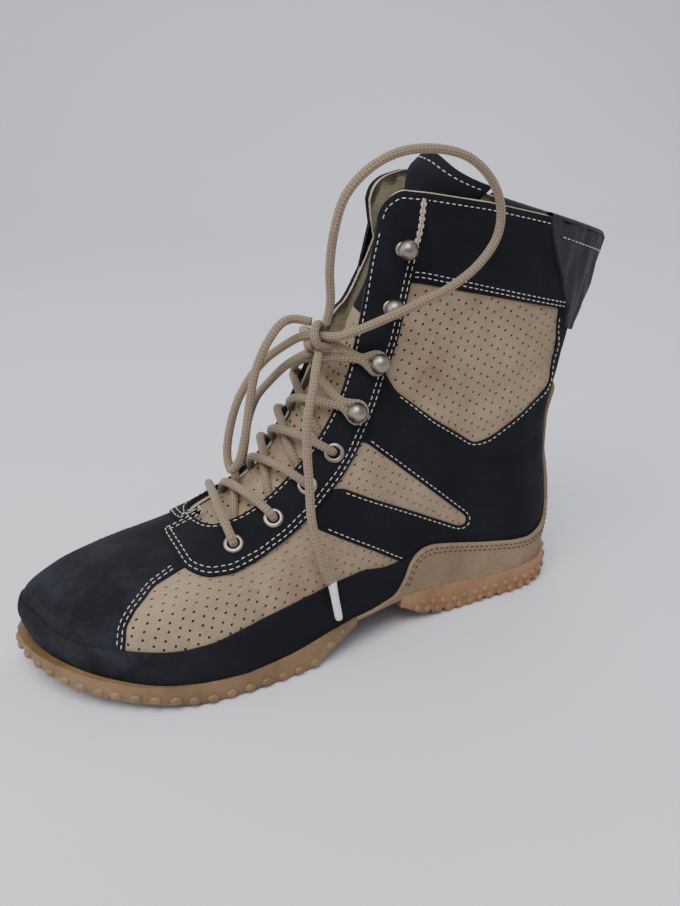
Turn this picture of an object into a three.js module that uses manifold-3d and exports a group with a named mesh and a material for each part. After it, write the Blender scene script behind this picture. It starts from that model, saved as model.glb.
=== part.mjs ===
// A left lace-up boot in millimetres: X from heel to toe, Y to the outer side, Z up, sole on Z = 0.
import * as THREE from 'three';
import { mergeVertices } from 'three/addons/utils/BufferGeometryUtils.js';
import Module from 'manifold-3d';

const wasm = await Module();
wasm.setup();

// Driving sizes of the last and the sole.
const bootLength = 262;
const ballBreadth = 98;
const heelHeight = 13;
const upperHeight = 184;
const toeSwing = 12;
const toeSpring = 11.5;
const heelBack = -33;

// Walls, steps and clearances.
const wallThickness = 3;
const overlayStep = 0.7;
const panelStep = 1.6;
const seatGap = 0.3;
const fitGap = 0.6;
const tongueGap = 1;
const laceLift = 1.1;
const meshTolerance = 0.06;
const randThickness = 1.2;
const soleLedge = 1.2;
const soleTaper = 1.4;
const lugPitch = 8;
const lugGroove = 2.4;
const lugDepth = 2.2;
const boardThickness = 3;
const insoleThickness = 2.5;
const tongueThickness = 2;
const reach = 90;

// Fittings and laces.
const eyeletRadius = 4.5;
const eyeletBore = 2.2;
const eyeletBarrel = 2.7;
const eyeletHead = 1;
const eyeletSeat = 0.55;
const hookBallRadius = 4.7;
const hookBallHeight = 7.9;
const hookStemRadius = 1.6;
const hookBaseRadius = 3.4;
const hookBaseHeight = 0.8;
const laceDiameter = 4.2;
const agletRadius = 1.9;
const agletLength = 17;

const alongX = (share) => heelBack + share * bootLength;
const highZ = (share) => heelHeight + share * upperHeight;

// A smooth curve through the rows of a table that never overshoots between two rows.
function smoothColumn(rows, key, value) {
  const at = rows.map((row) => row[key]);
  const values = rows.map((row) => row[value]);
  const rise = at.slice(1).map((x, i) => (values[i + 1] - values[i]) / (x - at[i]));
  const slopes = values.map((unused, i) => {
    if (i === 0) return rise[0];
    if (i === values.length - 1) return rise[i - 1];
    const product = rise[i - 1] * rise[i];
    return product > 0 ? (2 * product) / (rise[i - 1] + rise[i]) : 0;
  });
  return (x) => {
    const last = at.length - 1;
    if (x <= at[0]) return values[0] + (x - at[0]) * slopes[0];
    if (x >= at[last]) return values[last] + (x - at[last]) * slopes[last];
    const i = at.findIndex((start, k) => k < last && x <= at[k + 1]);
    const span = at[i + 1] - at[i];
    const t = (x - at[i]) / span;
    const s = 1 - t;
    return values[i] * (1 + 2 * t) * s * s + values[i + 1] * t * t * (3 - 2 * t)
      + span * (slopes[i] * t * s * s - slopes[i + 1] * t * t * s);
  };
}

// Each section of the last runs from a point on its back line to a point on its front line.
// along is a share of bootLength from the heel, high a share of upperHeight above the heel seat.
const sections = [
  { level: -1, backAlong: 0.023, backHigh: -0.043, frontAlong: 0.95, frontHigh: -0.027 },
  { level: 0, backAlong: 0.011, backHigh: 0, frontAlong: 0.985, frontHigh: 0.022 },
  { level: 1, backAlong: 0.002, backHigh: 0.076, frontAlong: 1, frontHigh: 0.087 },
  { level: 2, backAlong: -0.002, backHigh: 0.136, frontAlong: 0.983, frontHigh: 0.14 },
  { level: 3, backAlong: -0.002, backHigh: 0.179, frontAlong: 0.924, frontHigh: 0.18 },
  { level: 4, backAlong: 0, backHigh: 0.223, frontAlong: 0.821, frontHigh: 0.217 },
  { level: 5, backAlong: 0.004, backHigh: 0.277, frontAlong: 0.71, frontHigh: 0.266 },
  { level: 6, backAlong: 0.002, backHigh: 0.364, frontAlong: 0.607, frontHigh: 0.348 },
  { level: 7, backAlong: -0.014, backHigh: 0.473, frontAlong: 0.527, frontHigh: 0.473 },
  { level: 8, backAlong: -0.041, backHigh: 0.592, frontAlong: 0.473, frontHigh: 0.625 },
  { level: 9, backAlong: -0.077, backHigh: 0.717, frontAlong: 0.431, frontHigh: 0.799 },
  { level: 10, backAlong: -0.104, backHigh: 0.832, frontAlong: 0.382, frontHigh: 1 },
  { level: 11, backAlong: -0.126, backHigh: 0.886, frontAlong: 0.366, frontHigh: 1.082 },
  { level: 12, backAlong: -0.153, backHigh: 0.94, frontAlong: 0.347, frontHigh: 1.168 },
];
const backAlong = smoothColumn(sections, 'level', 'backAlong');
const backHigh = smoothColumn(sections, 'level', 'backHigh');
const frontAlong = smoothColumn(sections, 'level', 'frontAlong');
const frontHigh = smoothColumn(sections, 'level', 'frontHigh');

// Half breadths of the last to each side of its axis, as shares of ballBreadth.
const breadths = [
  { along: 0, outer: 0.327, inner: 0.327 },
  { along: 0.09, outer: 0.332, inner: 0.327 },
  { along: 0.202, outer: 0.337, inner: 0.316 },
  { along: 0.336, outer: 0.357, inner: 0.306 },
  { along: 0.469, outer: 0.423, inner: 0.337 },
  { along: 0.603, outer: 0.49, inner: 0.408 },
  { along: 0.718, outer: 0.51, inner: 0.469 },
  { along: 0.813, outer: 0.5, inner: 0.5 },
  { along: 0.908, outer: 0.449, inner: 0.5 },
  { along: 1, outer: 0.388, inner: 0.5 },
];
const outerBreadth = smoothColumn(breadths, 'along', 'outer');
const innerBreadth = smoothColumn(breadths, 'along', 'inner');

// The shaft narrows with height; the heel's rounding grows from the seat to the collar.
const shaftRows = [
  { high: -0.07, breadth: 0.95, heelRound: 0.13 },
  { high: 0.092, breadth: 1, heelRound: 0.135 },
  { high: 0.255, breadth: 0.93, heelRound: 0.143 },
  { high: 0.418, breadth: 0.86, heelRound: 0.158 },
  { high: 0.609, breadth: 0.78, heelRound: 0.18 },
  { high: 0.8, breadth: 0.74, heelRound: 0.205 },
  { high: 1.016, breadth: 0.74, heelRound: 0.229 },
];
const shaftBreadth = smoothColumn(shaftRows, 'high', 'breadth');
const heelRound = smoothColumn(shaftRows, 'high', 'heelRound');

// How square the top of each cross-section is, and how far the feather line leaves the plane.
const crownRows = [
  { along: 0.355, power: 2 },
  { along: 0.546, power: 1.9 },
  { along: 0.698, power: 2.3 },
  { along: 0.851, power: 3.2 },
  { along: 1, power: 3.6 },
];
const crownPower = smoothColumn(crownRows, 'along', 'power');
// The inner front of the shaft is squarer than the outer one, so its flap stands open.
const innerSquareness = 1.5;
const innerPower = (along, high) =>
  crownPower(along) * (1 + innerSquareness * THREE.MathUtils.smoothstep(high, 0.3, 0.6));
const featherRows = [
  { along: 0.011, rise: 0 },
  { along: 0.202, rise: 0 },
  { along: 0.355, rise: 0.016 },
  { along: 0.489, rise: 0.011 },
  { along: 0.698, rise: -0.033 },
  { along: 0.851, rise: -0.024 },
  { along: 0.985, rise: 0 },
];
const featherRise = smoothColumn(featherRows, 'along', 'rise');
const crownStart = -0.027;
const toeReach = 0.282;
const toePower = 2.6;
const heelPower = 2.1;
const axisStart = 0.584;
const axisPower = 1.6;
const shaftStart = 0.393;
const shaftEnd = 0.622;
const riseLevels = 2.5;

// The ridge line's height at a share of the length, found between fine steps of the front line.
const ridgeSteps = Array.from({ length: 1161 }, (unused, i) => 12.6 - i * 0.01)
  .map((level) => ({ along: frontAlong(level), high: frontHigh(level) }));

function ridgeHigh(along) {
  let low = 0;
  let high = ridgeSteps.length - 1;
  if (along >= ridgeSteps[high].along) return ridgeSteps[high].high;
  while (high - low > 1) {
    const middle = (low + high) >> 1;
    if (ridgeSteps[middle].along > along) high = middle;
    else low = middle;
  }
  const share = (along - ridgeSteps[low].along) / (ridgeSteps[high].along - ridgeSteps[low].along);
  return ridgeSteps[low].high + (ridgeSteps[high].high - ridgeSteps[low].high) * share;
}

const clamp = THREE.MathUtils.clamp;
const axisY = (along) => -toeSwing * clamp((along - axisStart) / (1 - axisStart), 0, 1) ** axisPower;

function halfBreadth(side, along, high, backShare, tipShare) {
  const base = (side > 0 ? outerBreadth(along) : innerBreadth(along)) * ballBreadth - side * axisY(along);
  const shaftShare = 1 - clamp((along - shaftStart) / (shaftEnd - shaftStart), 0, 1);
  const narrowed = 1 + (shaftBreadth(high) - 1) * shaftShare;
  const toe = clamp((along - tipShare + toeReach) / toeReach, 0, 1);
  const heel = clamp((backShare + heelRound(high) - along) / heelRound(high), 0, 1);
  const crown = clamp((high - crownStart) / (ridgeHigh(along) - crownStart), 0, 1);
  const power = side > 0 ? crownPower(along) : innerPower(along, high);
  return base * narrowed
    * Math.sqrt(Math.max(1 - toe ** toePower, 0))
    * Math.sqrt(Math.max(1 - heel ** heelPower, 0))
    * Math.sqrt(Math.max(1 - crown ** power, 0));
}

// turn is 0 at the back line, 180 at the front line and more than 180 on the inner side.
function lastPoint(turn, level) {
  const angle = THREE.MathUtils.degToRad(turn);
  const share = (1 - Math.cos(angle)) / 2;
  const back = backAlong(level);
  const along = back + (frontAlong(level) - back) * share;
  const high = backHigh(level) + (frontHigh(level) - backHigh(level)) * share;
  const side = turn <= 180 ? 1 : -1;
  const tip = level < 1 ? frontAlong(level) : 1;
  const breadth = turn === 180 ? 0 : halfBreadth(side, along, high, back, tip);
  const rise = featherRise(along) * clamp(1 - level / riseLevels, 0, 1);
  return new THREE.Vector3(alongX(along), axisY(along) + side * breadth, highZ(high + rise));
}

function lastNormal(turn, level) {
  const turnStep = 0.6;
  const levelStep = 0.02;
  const around = lastPoint((turn + turnStep) % 360, level).sub(lastPoint((turn - turnStep + 360) % 360, level));
  const upward = lastPoint(turn, level + levelStep).sub(lastPoint(turn, level - levelStep));
  return upward.cross(around).normalize();
}

const surfacePoint = (turn, level, offset) =>
  lastPoint(turn, level).addScaledVector(lastNormal(turn, level), offset);

// Joining and cutting work on closed meshes whose corners are shared.
function toSolid(geometry) {
  const bare = geometry.clone();
  bare.deleteAttribute('normal');
  bare.deleteAttribute('uv');
  const merged = mergeVertices(bare, 1e-4);
  const vertProperties = new Float32Array(merged.attributes.position.array);
  const triVerts = new Uint32Array(merged.index.array);
  return new wasm.Manifold(new wasm.Mesh({ numProp: 3, vertProperties, triVerts }));
}

function toGeometry(solid) {
  const result = solid.simplify(meshTolerance).getMesh();
  const geometry = new THREE.BufferGeometry();
  geometry.setAttribute('position', new THREE.BufferAttribute(new Float32Array(result.vertProperties), 3));
  geometry.setIndex(new THREE.BufferAttribute(new Uint32Array(result.triVerts), 1));
  return geometry;
}

function gridGeometry(rings, closed) {
  const count = rings[0].length;
  const positions = rings.flat().flatMap((point) => [point.x, point.y, point.z]);
  const index = [];
  const columns = closed ? count : count - 1;
  for (let row = 0; row < rings.length - 1; row += 1) {
    for (let column = 0; column < columns; column += 1) {
      const a = row * count + column;
      const b = row * count + ((column + 1) % count);
      index.push(a, a + count, b, b, a + count, b + count);
    }
  }
  return { positions, index, count };
}

// The last as a solid, its whole surface moved outward by offset.
const outerGrid = {
  columns: 44,
  levels: [-0.6, 0.4, 1, 1.6, 2.2, 2.8, 3.4, 4.1, 4.9, 5.8, 6.8, 7.8, 8.8, 9.8, 10.7, 11.6],
};
const liningGrid = { columns: 32, levels: [-0.6, 0.4, 1.2, 2, 2.8, 3.7, 4.8, 6, 7.4, 8.9, 10.3, 11.6] };

function lastSolid(offset, { columns, levels } = outerGrid) {
  const turns = Array.from({ length: columns }, (unused, i) => (i * 360) / columns);
  const rings = levels.map((level) => turns.map((turn) => surfacePoint(turn, level, offset)));
  const grid = gridGeometry(rings, true);
  const top = (levels.length - 1) * grid.count;
  const middle = (ring) => ring.reduce((sum, p) => sum.add(p), new THREE.Vector3()).divideScalar(ring.length);
  const bottomCentre = grid.positions.length / 3;
  const centres = [middle(rings[0]).setZ(-heelHeight), middle(rings.at(-1))];
  for (const centre of centres) grid.positions.push(...centre.toArray());
  for (let i = 0; i < grid.count; i += 1) {
    const next = (i + 1) % grid.count;
    grid.index.push(bottomCentre, i, next, bottomCentre + 1, top + next, top + i);
  }
  return solidFromArrays(grid);
}

function solidFromArrays(grid) {
  const geometry = new THREE.BufferGeometry();
  geometry.setAttribute('position', new THREE.Float32BufferAttribute(grid.positions, 3));
  geometry.setIndex(grid.index);
  return toSolid(geometry);
}

// Prisms cut with outlines drawn from the side (along, high) or from above (x, y).
function sidePrism(corners, fromY, toY) {
  const shape = new THREE.Shape(corners.map(([x, z]) => new THREE.Vector2(x, z)));
  const geometry = new THREE.ExtrudeGeometry(shape, { depth: toY - fromY, bevelEnabled: false });
  geometry.rotateX(Math.PI / 2);
  geometry.translate(0, toY, 0);
  return toSolid(geometry);
}

const sideCorners = (rows) => rows.map((row) => [alongX(row.along), highZ(row.high)]);
const bothSides = (rows) => sidePrism(sideCorners(rows), -reach, reach);

function topPrism(corners, fromZ, toZ) {
  const shape = new THREE.Shape(corners.map(([x, y]) => new THREE.Vector2(x, y)));
  const geometry = new THREE.ExtrudeGeometry(shape, { depth: toZ - fromZ, bevelEnabled: false });
  geometry.translate(0, 0, fromZ);
  return toSolid(geometry);
}

// The feather line is where the upper meets the sole.
function featherZ(along) {
  const back = backAlong(0);
  const share = clamp((along - back) / (frontAlong(0) - back), -0.1, 1.1);
  return highZ(backHigh(0) + (frontHigh(0) - backHigh(0)) * share + featherRise(along));
}

const featherSteps = [-0.06, 0.2, 0.28, 0.355, 0.42, 0.49, 0.55, 0.62, 0.698, 0.77, 0.851, 0.92, 0.985, 1.05];
const featherLine = (lift) => featherSteps.map((along) => [alongX(along), featherZ(along) + lift]);
const belowFeather = (lift) => {
  const deep = -heelHeight * 2;
  const line = featherLine(lift);
  return sidePrism([...line, [line.at(-1)[0], deep], [line[0][0], deep]], -reach, reach);
};
const slab = (from, to) => belowFeather(to).subtract(belowFeather(from));

// Outlines of the overlays from the side, lower edges first.
const eyestayRows = [
  { along: 0.763, high: 0.6 },
  { along: 0.764, high: 0.218 },
  { along: 0.757, high: 0.207 },
  { along: 0.734, high: 0.196 },
  { along: 0.695, high: 0.197 },
  { along: 0.651, high: 0.214 },
  { along: 0.593, high: 0.249 },
  { along: 0.54, high: 0.297 },
  { along: 0.49, high: 0.361 },
  { along: 0.463, high: 0.407 },
  { along: 0.417, high: 0.515 },
  { along: 0.369, high: 0.659 },
  { along: 0.335, high: 0.82 },
  { along: 0.316, high: 0.9 },
  { along: 0.302, high: 1.2 },
  { along: 0.763, high: 1.2 },
];
// The inner eyestay is wider up the shaft, where its hooks stand farther back.
const innerEyestayStep = 0.04;
const innerEyestayRows = eyestayRows.map(({ along, high }) => ({
  along: along - innerEyestayStep * (1 - THREE.MathUtils.smoothstep(along, 0.42, 0.54)),
  high,
}));
const cuffRows = [
  { along: 0.4, high: 0.795 },
  { along: 0.324, high: 0.791 },
  { along: 0.01, high: 0.669 },
  { along: -0.2, high: 0.6 },
  { along: -0.4, high: 1.3 },
  { along: 0.4, high: 1.3 },
];
const randRows = [
  { along: 1.05, high: 0.12 },
  { along: 0.984, high: 0.117 },
  { along: 0.969, high: 0.095 },
  { along: 0.942, high: 0.08 },
  { along: 0.882, high: 0.077 },
  { along: 0.8, high: 0.069 },
  { along: 0.744, high: 0.072 },
  { along: 0.688, high: 0.088 },
  { along: 0.629, high: 0.104 },
  { along: 0.54, high: 0.125 },
  { along: 0.466, high: 0.133 },
  { along: 0.42, high: 0.119 },
  { along: 0.35, high: 0.12 },
  { along: 0.27, high: 0.108 },
  { along: 0.13, high: 0.07 },
  { along: 0.05, high: 0.075 },
  { along: -0.1, high: 0.09 },
  { along: -0.1, high: -0.2 },
  { along: 1.05, high: -0.2 },
];
const capRows = [
  { along: 0.758, high: 0.4 },
  { along: 0.763, high: 0.212 },
  { along: 0.815, high: 0.188 },
  { along: 0.85, high: 0.157 },
  { along: 0.871, high: 0.125 },
  { along: 0.882, high: 0.06 },
  { along: 0.89, high: -0.1 },
  { along: 1.1, high: -0.1 },
  { along: 1.1, high: 0.4 },
];
// The three perforated panels of each side lie lower than the leather around them.
const forefootPanel = [
  { along: 0.85, high: 0.05 },
  { along: 0.48, high: 0.05 },
  { along: 0.425, high: 0.1 },
  { along: 0.37, high: 0.11 },
  { along: 0.441, high: 0.17 },
  { along: 0.503, high: 0.223 },
  { along: 0.549, high: 0.26 },
  { along: 0.6, high: 0.42 },
  { along: 0.763, high: 0.42 },
  { along: 0.9, high: 0.2 },
  { along: 0.9, high: 0.05 },
];
const anklePanel = [
  { along: 0.463, high: 0.43 },
  { along: 0.437, high: 0.43 },
  { along: 0.241, high: 0.178 },
  { along: 0.256, high: 0.16 },
  { along: 0.5, high: 0.336 },
  { along: 0.53, high: 0.34 },
];
const rearPanel = [
  { along: 0.37, high: 0.8 },
  { along: 0.324, high: 0.783 },
  { along: 0.031, high: 0.676 },
  { along: 0.025, high: 0.53 },
  { along: 0.035, high: 0.482 },
  { along: 0.122, high: 0.421 },
  { along: 0.19, high: 0.377 },
  { along: 0.222, high: 0.372 },
  { along: 0.307, high: 0.457 },
  { along: 0.381, high: 0.543 },
  { along: 0.42, high: 0.56 },
];

// The throat from above: half breadths to each side, as shares of ballBreadth.
const throatRows = [
  { along: 0.71, outer: 0.05, inner: 0.05 },
  { along: 0.703, outer: 0.115, inner: 0.115 },
  { along: 0.688, outer: 0.155, inner: 0.155 },
  { along: 0.645, outer: 0.184, inner: 0.184 },
  { along: 0.58, outer: 0.184, inner: 0.19 },
  { along: 0.47, outer: 0.192, inner: 0.205 },
  { along: 0.424, outer: 0.147, inner: 0.205 },
  { along: 0.4, outer: 0.107, inner: 0.205 },
  { along: 0.376, outer: 0.098, inner: 0.205 },
  { along: 0.362, outer: 0.11, inner: 0.205 },
  { along: 0.352, outer: 0.14, inner: 0.205 },
  { along: 0.31, outer: 0, inner: 0.205 },
];
const throatFloor = 0.17;
const collarOuter = [
  { along: 0.5, high: 0.95 },
  { along: 0.376, high: 0.965 },
  { along: 0.354, high: 0.993 },
  { along: 0.309, high: 0.985 },
  { along: 0.192, high: 0.954 },
  { along: 0.073, high: 0.912 },
  { along: -0.087, high: 0.84 },
  { along: -0.2, high: 0.79 },
];
const collarInner = [
  { along: 0.5, high: 0.95 },
  { along: 0.352, high: 0.973 },
  { along: 0.322, high: 1.005 },
  { along: 0.27, high: 1.018 },
  { along: 0.17, high: 0.985 },
  { along: 0.05, high: 0.917 },
  { along: -0.06, high: 0.865 },
  { along: -0.087, high: 0.84 },
  { along: -0.2, high: 0.79 },
];
const skyHigh = 1.6;
const aboveCollar = (rows, fromY, toY) => {
  const sky = [{ along: rows.at(-1).along, high: skyHigh }, { along: rows[0].along, high: skyHigh }];
  return sidePrism(sideCorners([...rows, ...sky]), fromY, toY);
};

function throatPrism() {
  const outer = throatRows.map((row) => [alongX(row.along), axisY(row.along) + row.outer * ballBreadth]);
  const inner = throatRows.map((row) => [alongX(row.along), axisY(row.along) - row.inner * ballBreadth]);
  return topPrism([...outer, ...inner.reverse()], highZ(throatFloor), highZ(skyHigh));
}

// Eyelets and hooks stand in a row on each side, at these turns and levels of the last.
const fittingRows = [
  { name: 'eyelet_1', outerTurn: 142, outerLevel: 4.56, innerTurn: 222, innerLevel: 4.8 },
  { name: 'eyelet_2', outerTurn: 142, outerLevel: 5.28, innerTurn: 222, innerLevel: 5.42 },
  { name: 'eyelet_3', outerTurn: 142.5, outerLevel: 5.99, innerTurn: 223, innerLevel: 6.05 },
  { name: 'eyelet_4', outerTurn: 141, outerLevel: 6.57, innerTurn: 225, innerLevel: 6.58 },
  { name: 'hook_1', outerTurn: 141, outerLevel: 7.23, innerTurn: 230, innerLevel: 7.15 },
  { name: 'hook_2', outerTurn: 139.5, outerLevel: 7.94, innerTurn: 234, innerLevel: 7.8 },
  { name: 'hook_3', outerTurn: 138, outerLevel: 8.68, innerTurn: 236, innerLevel: 8.5 },
  { name: 'hook_4', outerTurn: 140, outerLevel: 9.36, innerTurn: 237, innerLevel: 9.2 },
];
const fittings = fittingRows.flatMap((row) => [
  { name: `${row.name}_outer`, turn: row.outerTurn, level: row.outerLevel },
  { name: `${row.name}_inner`, turn: row.innerTurn, level: row.innerLevel },
]);
const isEyelet = (fitting) => fitting.name.startsWith('eyelet');

function placedOnLast(geometry, turn, level, offset) {
  const upward = new THREE.Vector3(0, 1, 0);
  geometry.applyQuaternion(new THREE.Quaternion().setFromUnitVectors(upward, lastNormal(turn, level)));
  geometry.translate(...surfacePoint(turn, level, offset).toArray());
  return geometry;
}

const latheOf = (profile, sides) =>
  new THREE.LatheGeometry(profile.map(([radius, height]) => new THREE.Vector2(radius, height)), sides);

function eyeletGeometry() {
  const seat = seatGap + eyeletSeat;
  const crown = eyeletHead * 0.55;
  const profile = [
    [eyeletBore, -wallThickness],
    [eyeletBarrel, -wallThickness],
    [eyeletBarrel, seat],
    [eyeletRadius, seat],
    [eyeletRadius, seat + crown],
    [eyeletRadius * 0.78, seat + eyeletHead],
    [eyeletBore * 1.25, seat + eyeletHead],
    [eyeletBore, seat + crown],
    [eyeletBore, -wallThickness],
  ];
  return latheOf(profile, 8);
}

function hookGeometry() {
  const ball = [-50, 0, 50].map((degrees) => {
    const angle = THREE.MathUtils.degToRad(degrees);
    return [hookBallRadius * Math.cos(angle), hookBallHeight + hookBallRadius * Math.sin(angle)];
  });
  const profile = [
    [0, -overlayStep],
    [hookBaseRadius, -overlayStep],
    [hookBaseRadius, seatGap + hookBaseHeight],
    [hookStemRadius, seatGap + hookBaseHeight],
    [hookStemRadius, hookBallHeight - hookBallRadius * 0.94],
    ...ball,
    [0, hookBallHeight + hookBallRadius],
  ];
  return latheOf(profile, 8);
}

const boltGeometry = () => {
  const radius = eyeletBarrel + seatGap;
  const length = wallThickness * 4;
  return new THREE.CylinderGeometry(radius, radius, length, 10);
};

// The upper is one hollow wall: thin at the panels, thicker at the overlays, the eyestay and the cuff.
const innerLast = lastSolid(-wallThickness, liningGrid);
const raised = sidePrism(sideCorners(eyestayRows), 0, reach)
  .add(sidePrism(sideCorners(innerEyestayRows), -reach, 0))
  .add(bothSides(cuffRows))
  .add(bothSides(randRows));
const panels = bothSides(forefootPanel).subtract(bothSides(capRows))
  .add(bothSides(anklePanel))
  .add(bothSides(rearPanel));

function upperSolid() {
  const thick = lastSolid(0).intersect(raised);
  const middle = lastSolid(-overlayStep).subtract(panels);
  const thin = lastSolid(-panelStep);
  let wall = thin.add(middle).add(thick).subtract(innerLast);
  wall = wall.subtract(throatPrism()).subtract(belowFeather(seatGap));
  wall = wall.subtract(aboveCollar(collarOuter, 0, reach)).subtract(aboveCollar(collarInner, -reach, 0));
  for (const fitting of fittings.filter(isEyelet)) {
    wall = wall.subtract(toSolid(placedOnLast(boltGeometry(), fitting.turn, fitting.level, 0)));
  }
  return wall;
}

// The suede rand wraps the heel and runs up the back seam; the pull tab folds over the collar's back.
const heelRandRows = [
  { along: 0.49, high: 0.016 },
  { along: 0.45, high: 0.022 },
  { along: 0.4, high: 0.034 },
  { along: 0.388, high: 0.056 },
  { along: 0.378, high: 0.079 },
  { along: 0.37, high: 0.11 },
  { along: 0.345, high: 0.135 },
  { along: 0.321, high: 0.139 },
  { along: 0.277, high: 0.127 },
  { along: 0.207, high: 0.104 },
  { along: 0.138, high: 0.086 },
  { along: 0.092, high: 0.08 },
  { along: 0.045, high: 0.092 },
  { along: 0.02, high: 0.12 },
  { along: 0.012, high: 0.2 },
  { along: 0.012, high: 0.45 },
  { along: -0.1, high: 0.45 },
  { along: -0.1, high: -0.2 },
  { along: 0.49, high: -0.2 },
];
const backTabRows = [
  { along: 0.073, high: 1 },
  { along: 0.058, high: 0.83 },
  { along: 0.035, high: 0.745 },
  { along: 0.012, high: 0.66 },
  { along: -0.002, high: 0.61 },
  { along: -0.1, high: 0.6 },
  { along: -0.3, high: 1 },
];

function skinSolid(outlineRows, offset, thickness) {
  const skin = lastSolid(offset + thickness).subtract(lastSolid(offset));
  return skin.intersect(bothSides(outlineRows));
}

const heelRandSolid = () => skinSolid(heelRandRows, seatGap, randThickness).subtract(belowFeather(seatGap));
const backTabSolid = () => skinSolid(backTabRows, seatGap, randThickness)
  .subtract(aboveCollar(collarOuter, -reach, reach));

// Lasting board and insole close the foot from below, inside the upper's wall.
const boardSolid = () => lastSolid(-wallThickness - seatGap, liningGrid).intersect(slab(seatGap, boardThickness));
const insoleSolid = () => {
  const bottom = boardThickness + seatGap;
  return lastSolid(-wallThickness - fitGap, liningGrid).intersect(slab(bottom, bottom + insoleThickness));
};

// The tongue fills the throat from inside and leans back at its top.
const tongueRows = [
  { level: 4.5, outerTurn: 146, innerTurn: 212, outerLean: 0, innerLean: 0 },
  { level: 5.2, outerTurn: 138, innerTurn: 222, outerLean: 0, innerLean: 0 },
  { level: 6, outerTurn: 132, innerTurn: 228, outerLean: 0, innerLean: 0 },
  { level: 8, outerTurn: 126, innerTurn: 238, outerLean: 0, innerLean: 0 },
  { level: 9, outerTurn: 120, innerTurn: 236, outerLean: 0, innerLean: 3 },
  { level: 10, outerTurn: 112, innerTurn: 226, outerLean: 4, innerLean: 13 },
  { level: 11, outerTurn: 107, innerTurn: 215, outerLean: 8, innerLean: 24 },
];
const tongueOuterTurn = smoothColumn(tongueRows, 'level', 'outerTurn');
const tongueInnerTurn = smoothColumn(tongueRows, 'level', 'innerTurn');
const tongueOuterLean = smoothColumn(tongueRows, 'level', 'outerLean');
const tongueInnerLean = smoothColumn(tongueRows, 'level', 'innerLean');
const tongueFirst = 4.55;
const tongueTopInner = 10.95;
const tongueTopOuter = 10.6;

function tongueSolid() {
  const across = 10;
  const rows = 11;
  const sheet = (offset) => Array.from({ length: rows + 1 }, (unusedRow, row) =>
    Array.from({ length: across + 1 }, (unused, column) => {
      const u = column / across;
      const top = tongueTopOuter + (tongueTopInner - tongueTopOuter) * Math.sin((u * Math.PI) / 2);
      const level = tongueFirst + (top - tongueFirst) * (row / rows);
      const from = tongueOuterTurn(level);
      const turn = from + (tongueInnerTurn(level) - from) * u;
      const point = surfacePoint(turn, level, offset);
      const outerLean = tongueOuterLean(level);
      point.x -= outerLean + (tongueInnerLean(level) - outerLean) * THREE.MathUtils.smoothstep(u, 0, 0.55);
      return point;
    }));
  const front = sheet(-wallThickness - tongueGap);
  const back = sheet(-wallThickness - tongueGap - tongueThickness);
  const rings = front.map((row, i) => [...row, ...back[i].slice().reverse()]);
  const grid = gridGeometry(rings, true);
  const width = across + 1;
  const last = rows * grid.count;
  for (let i = 0; i < across; i += 1) {
    const opposite = 2 * width - 1 - i;
    grid.index.push(i, i + 1, opposite, i + 1, opposite - 1, opposite);
    grid.index.push(last + i + 1, last + i, last + opposite, last + opposite - 1, last + i + 1, last + opposite);
  }
  return solidFromArrays(grid);
}

// The rubber sole is two units with a bare arch between them.
function soleOutline(offset) {
  const steps = 52;
  const height = 0.035;
  const points = Array.from({ length: steps }, (unused, i) => {
    const angle = (i / steps) * Math.PI * 2;
    const along = (1 - Math.cos(angle)) / 2;
    const side = i <= steps / 2 ? 1 : -1;
    return new THREE.Vector2(alongX(along), axisY(along) + side * halfBreadth(side, along, height, 0, 1));
  });
  return points.map((point, i) => {
    const before = points[(i + steps - 1) % steps];
    const after = points[(i + 1) % steps];
    const tangent = after.clone().sub(before).normalize();
    return [point.x - tangent.y * offset, point.y + tangent.x * offset];
  });
}

const foreTread = [
  { along: 0.586, lift: 0 },
  { along: 0.763, lift: 0 },
  { along: 0.817, lift: 0.19 },
  { along: 0.874, lift: 0.35 },
  { along: 0.931, lift: 0.52 },
  { along: 0.977, lift: 0.75 },
  { along: 1.004, lift: 1 },
  { along: 1.04, lift: 1.5 },
];
const foreTaper = [
  { along: 0.489, lift: 1.18 },
  { along: 0.498, lift: 1.08 },
  { along: 0.546, lift: 0.52 },
];
const heelTread = [
  { along: -0.02, lift: 0.9 },
  { along: 0.012, lift: 0.4 },
  { along: 0.035, lift: 0.12 },
  { along: 0.06, lift: 0 },
  { along: 0.26, lift: 0 },
  { along: 0.31, lift: 0.17 },
  { along: 0.345, lift: 0.42 },
  { along: 0.375, lift: 0.85 },
  { along: 0.39, lift: 1.05 },
];
const foreLift = smoothColumn(foreTread, 'along', 'lift');
const heelLift = smoothColumn(heelTread, 'along', 'lift');

function treadLine(fromShare, toShare, liftAt, rows) {
  const from = alongX(fromShare);
  const to = alongX(toShare);
  const bottom = (x) => Math.max(liftAt((x - heelBack) / bootLength), 0) * toeSpring;
  const lugs = Math.floor((to - from - lugGroove) / lugPitch);
  const notches = Array.from({ length: lugs }, (unused, i) => from + (i + 1) * lugPitch);
  const line = rows.map((row) => [alongX(row.along), row.lift * toeSpring, 'edge']);
  for (const x of notches) {
    line.push([x - lugGroove / 2, bottom(x - lugGroove / 2), 'groove']);
    line.push([x - lugGroove / 3, bottom(x) + lugDepth, 'groove']);
    line.push([x + lugGroove / 3, bottom(x) + lugDepth, 'groove']);
    line.push([x + lugGroove / 2, bottom(x + lugGroove / 2), 'groove']);
  }
  const clear = line.filter(([x, z, kind]) => kind === 'groove'
    || !notches.some((notch) => Math.abs(x - notch) < lugGroove));
  return clear.sort((a, b) => a[0] - b[0]).map(([x, z]) => [x, z]);
}

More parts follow.
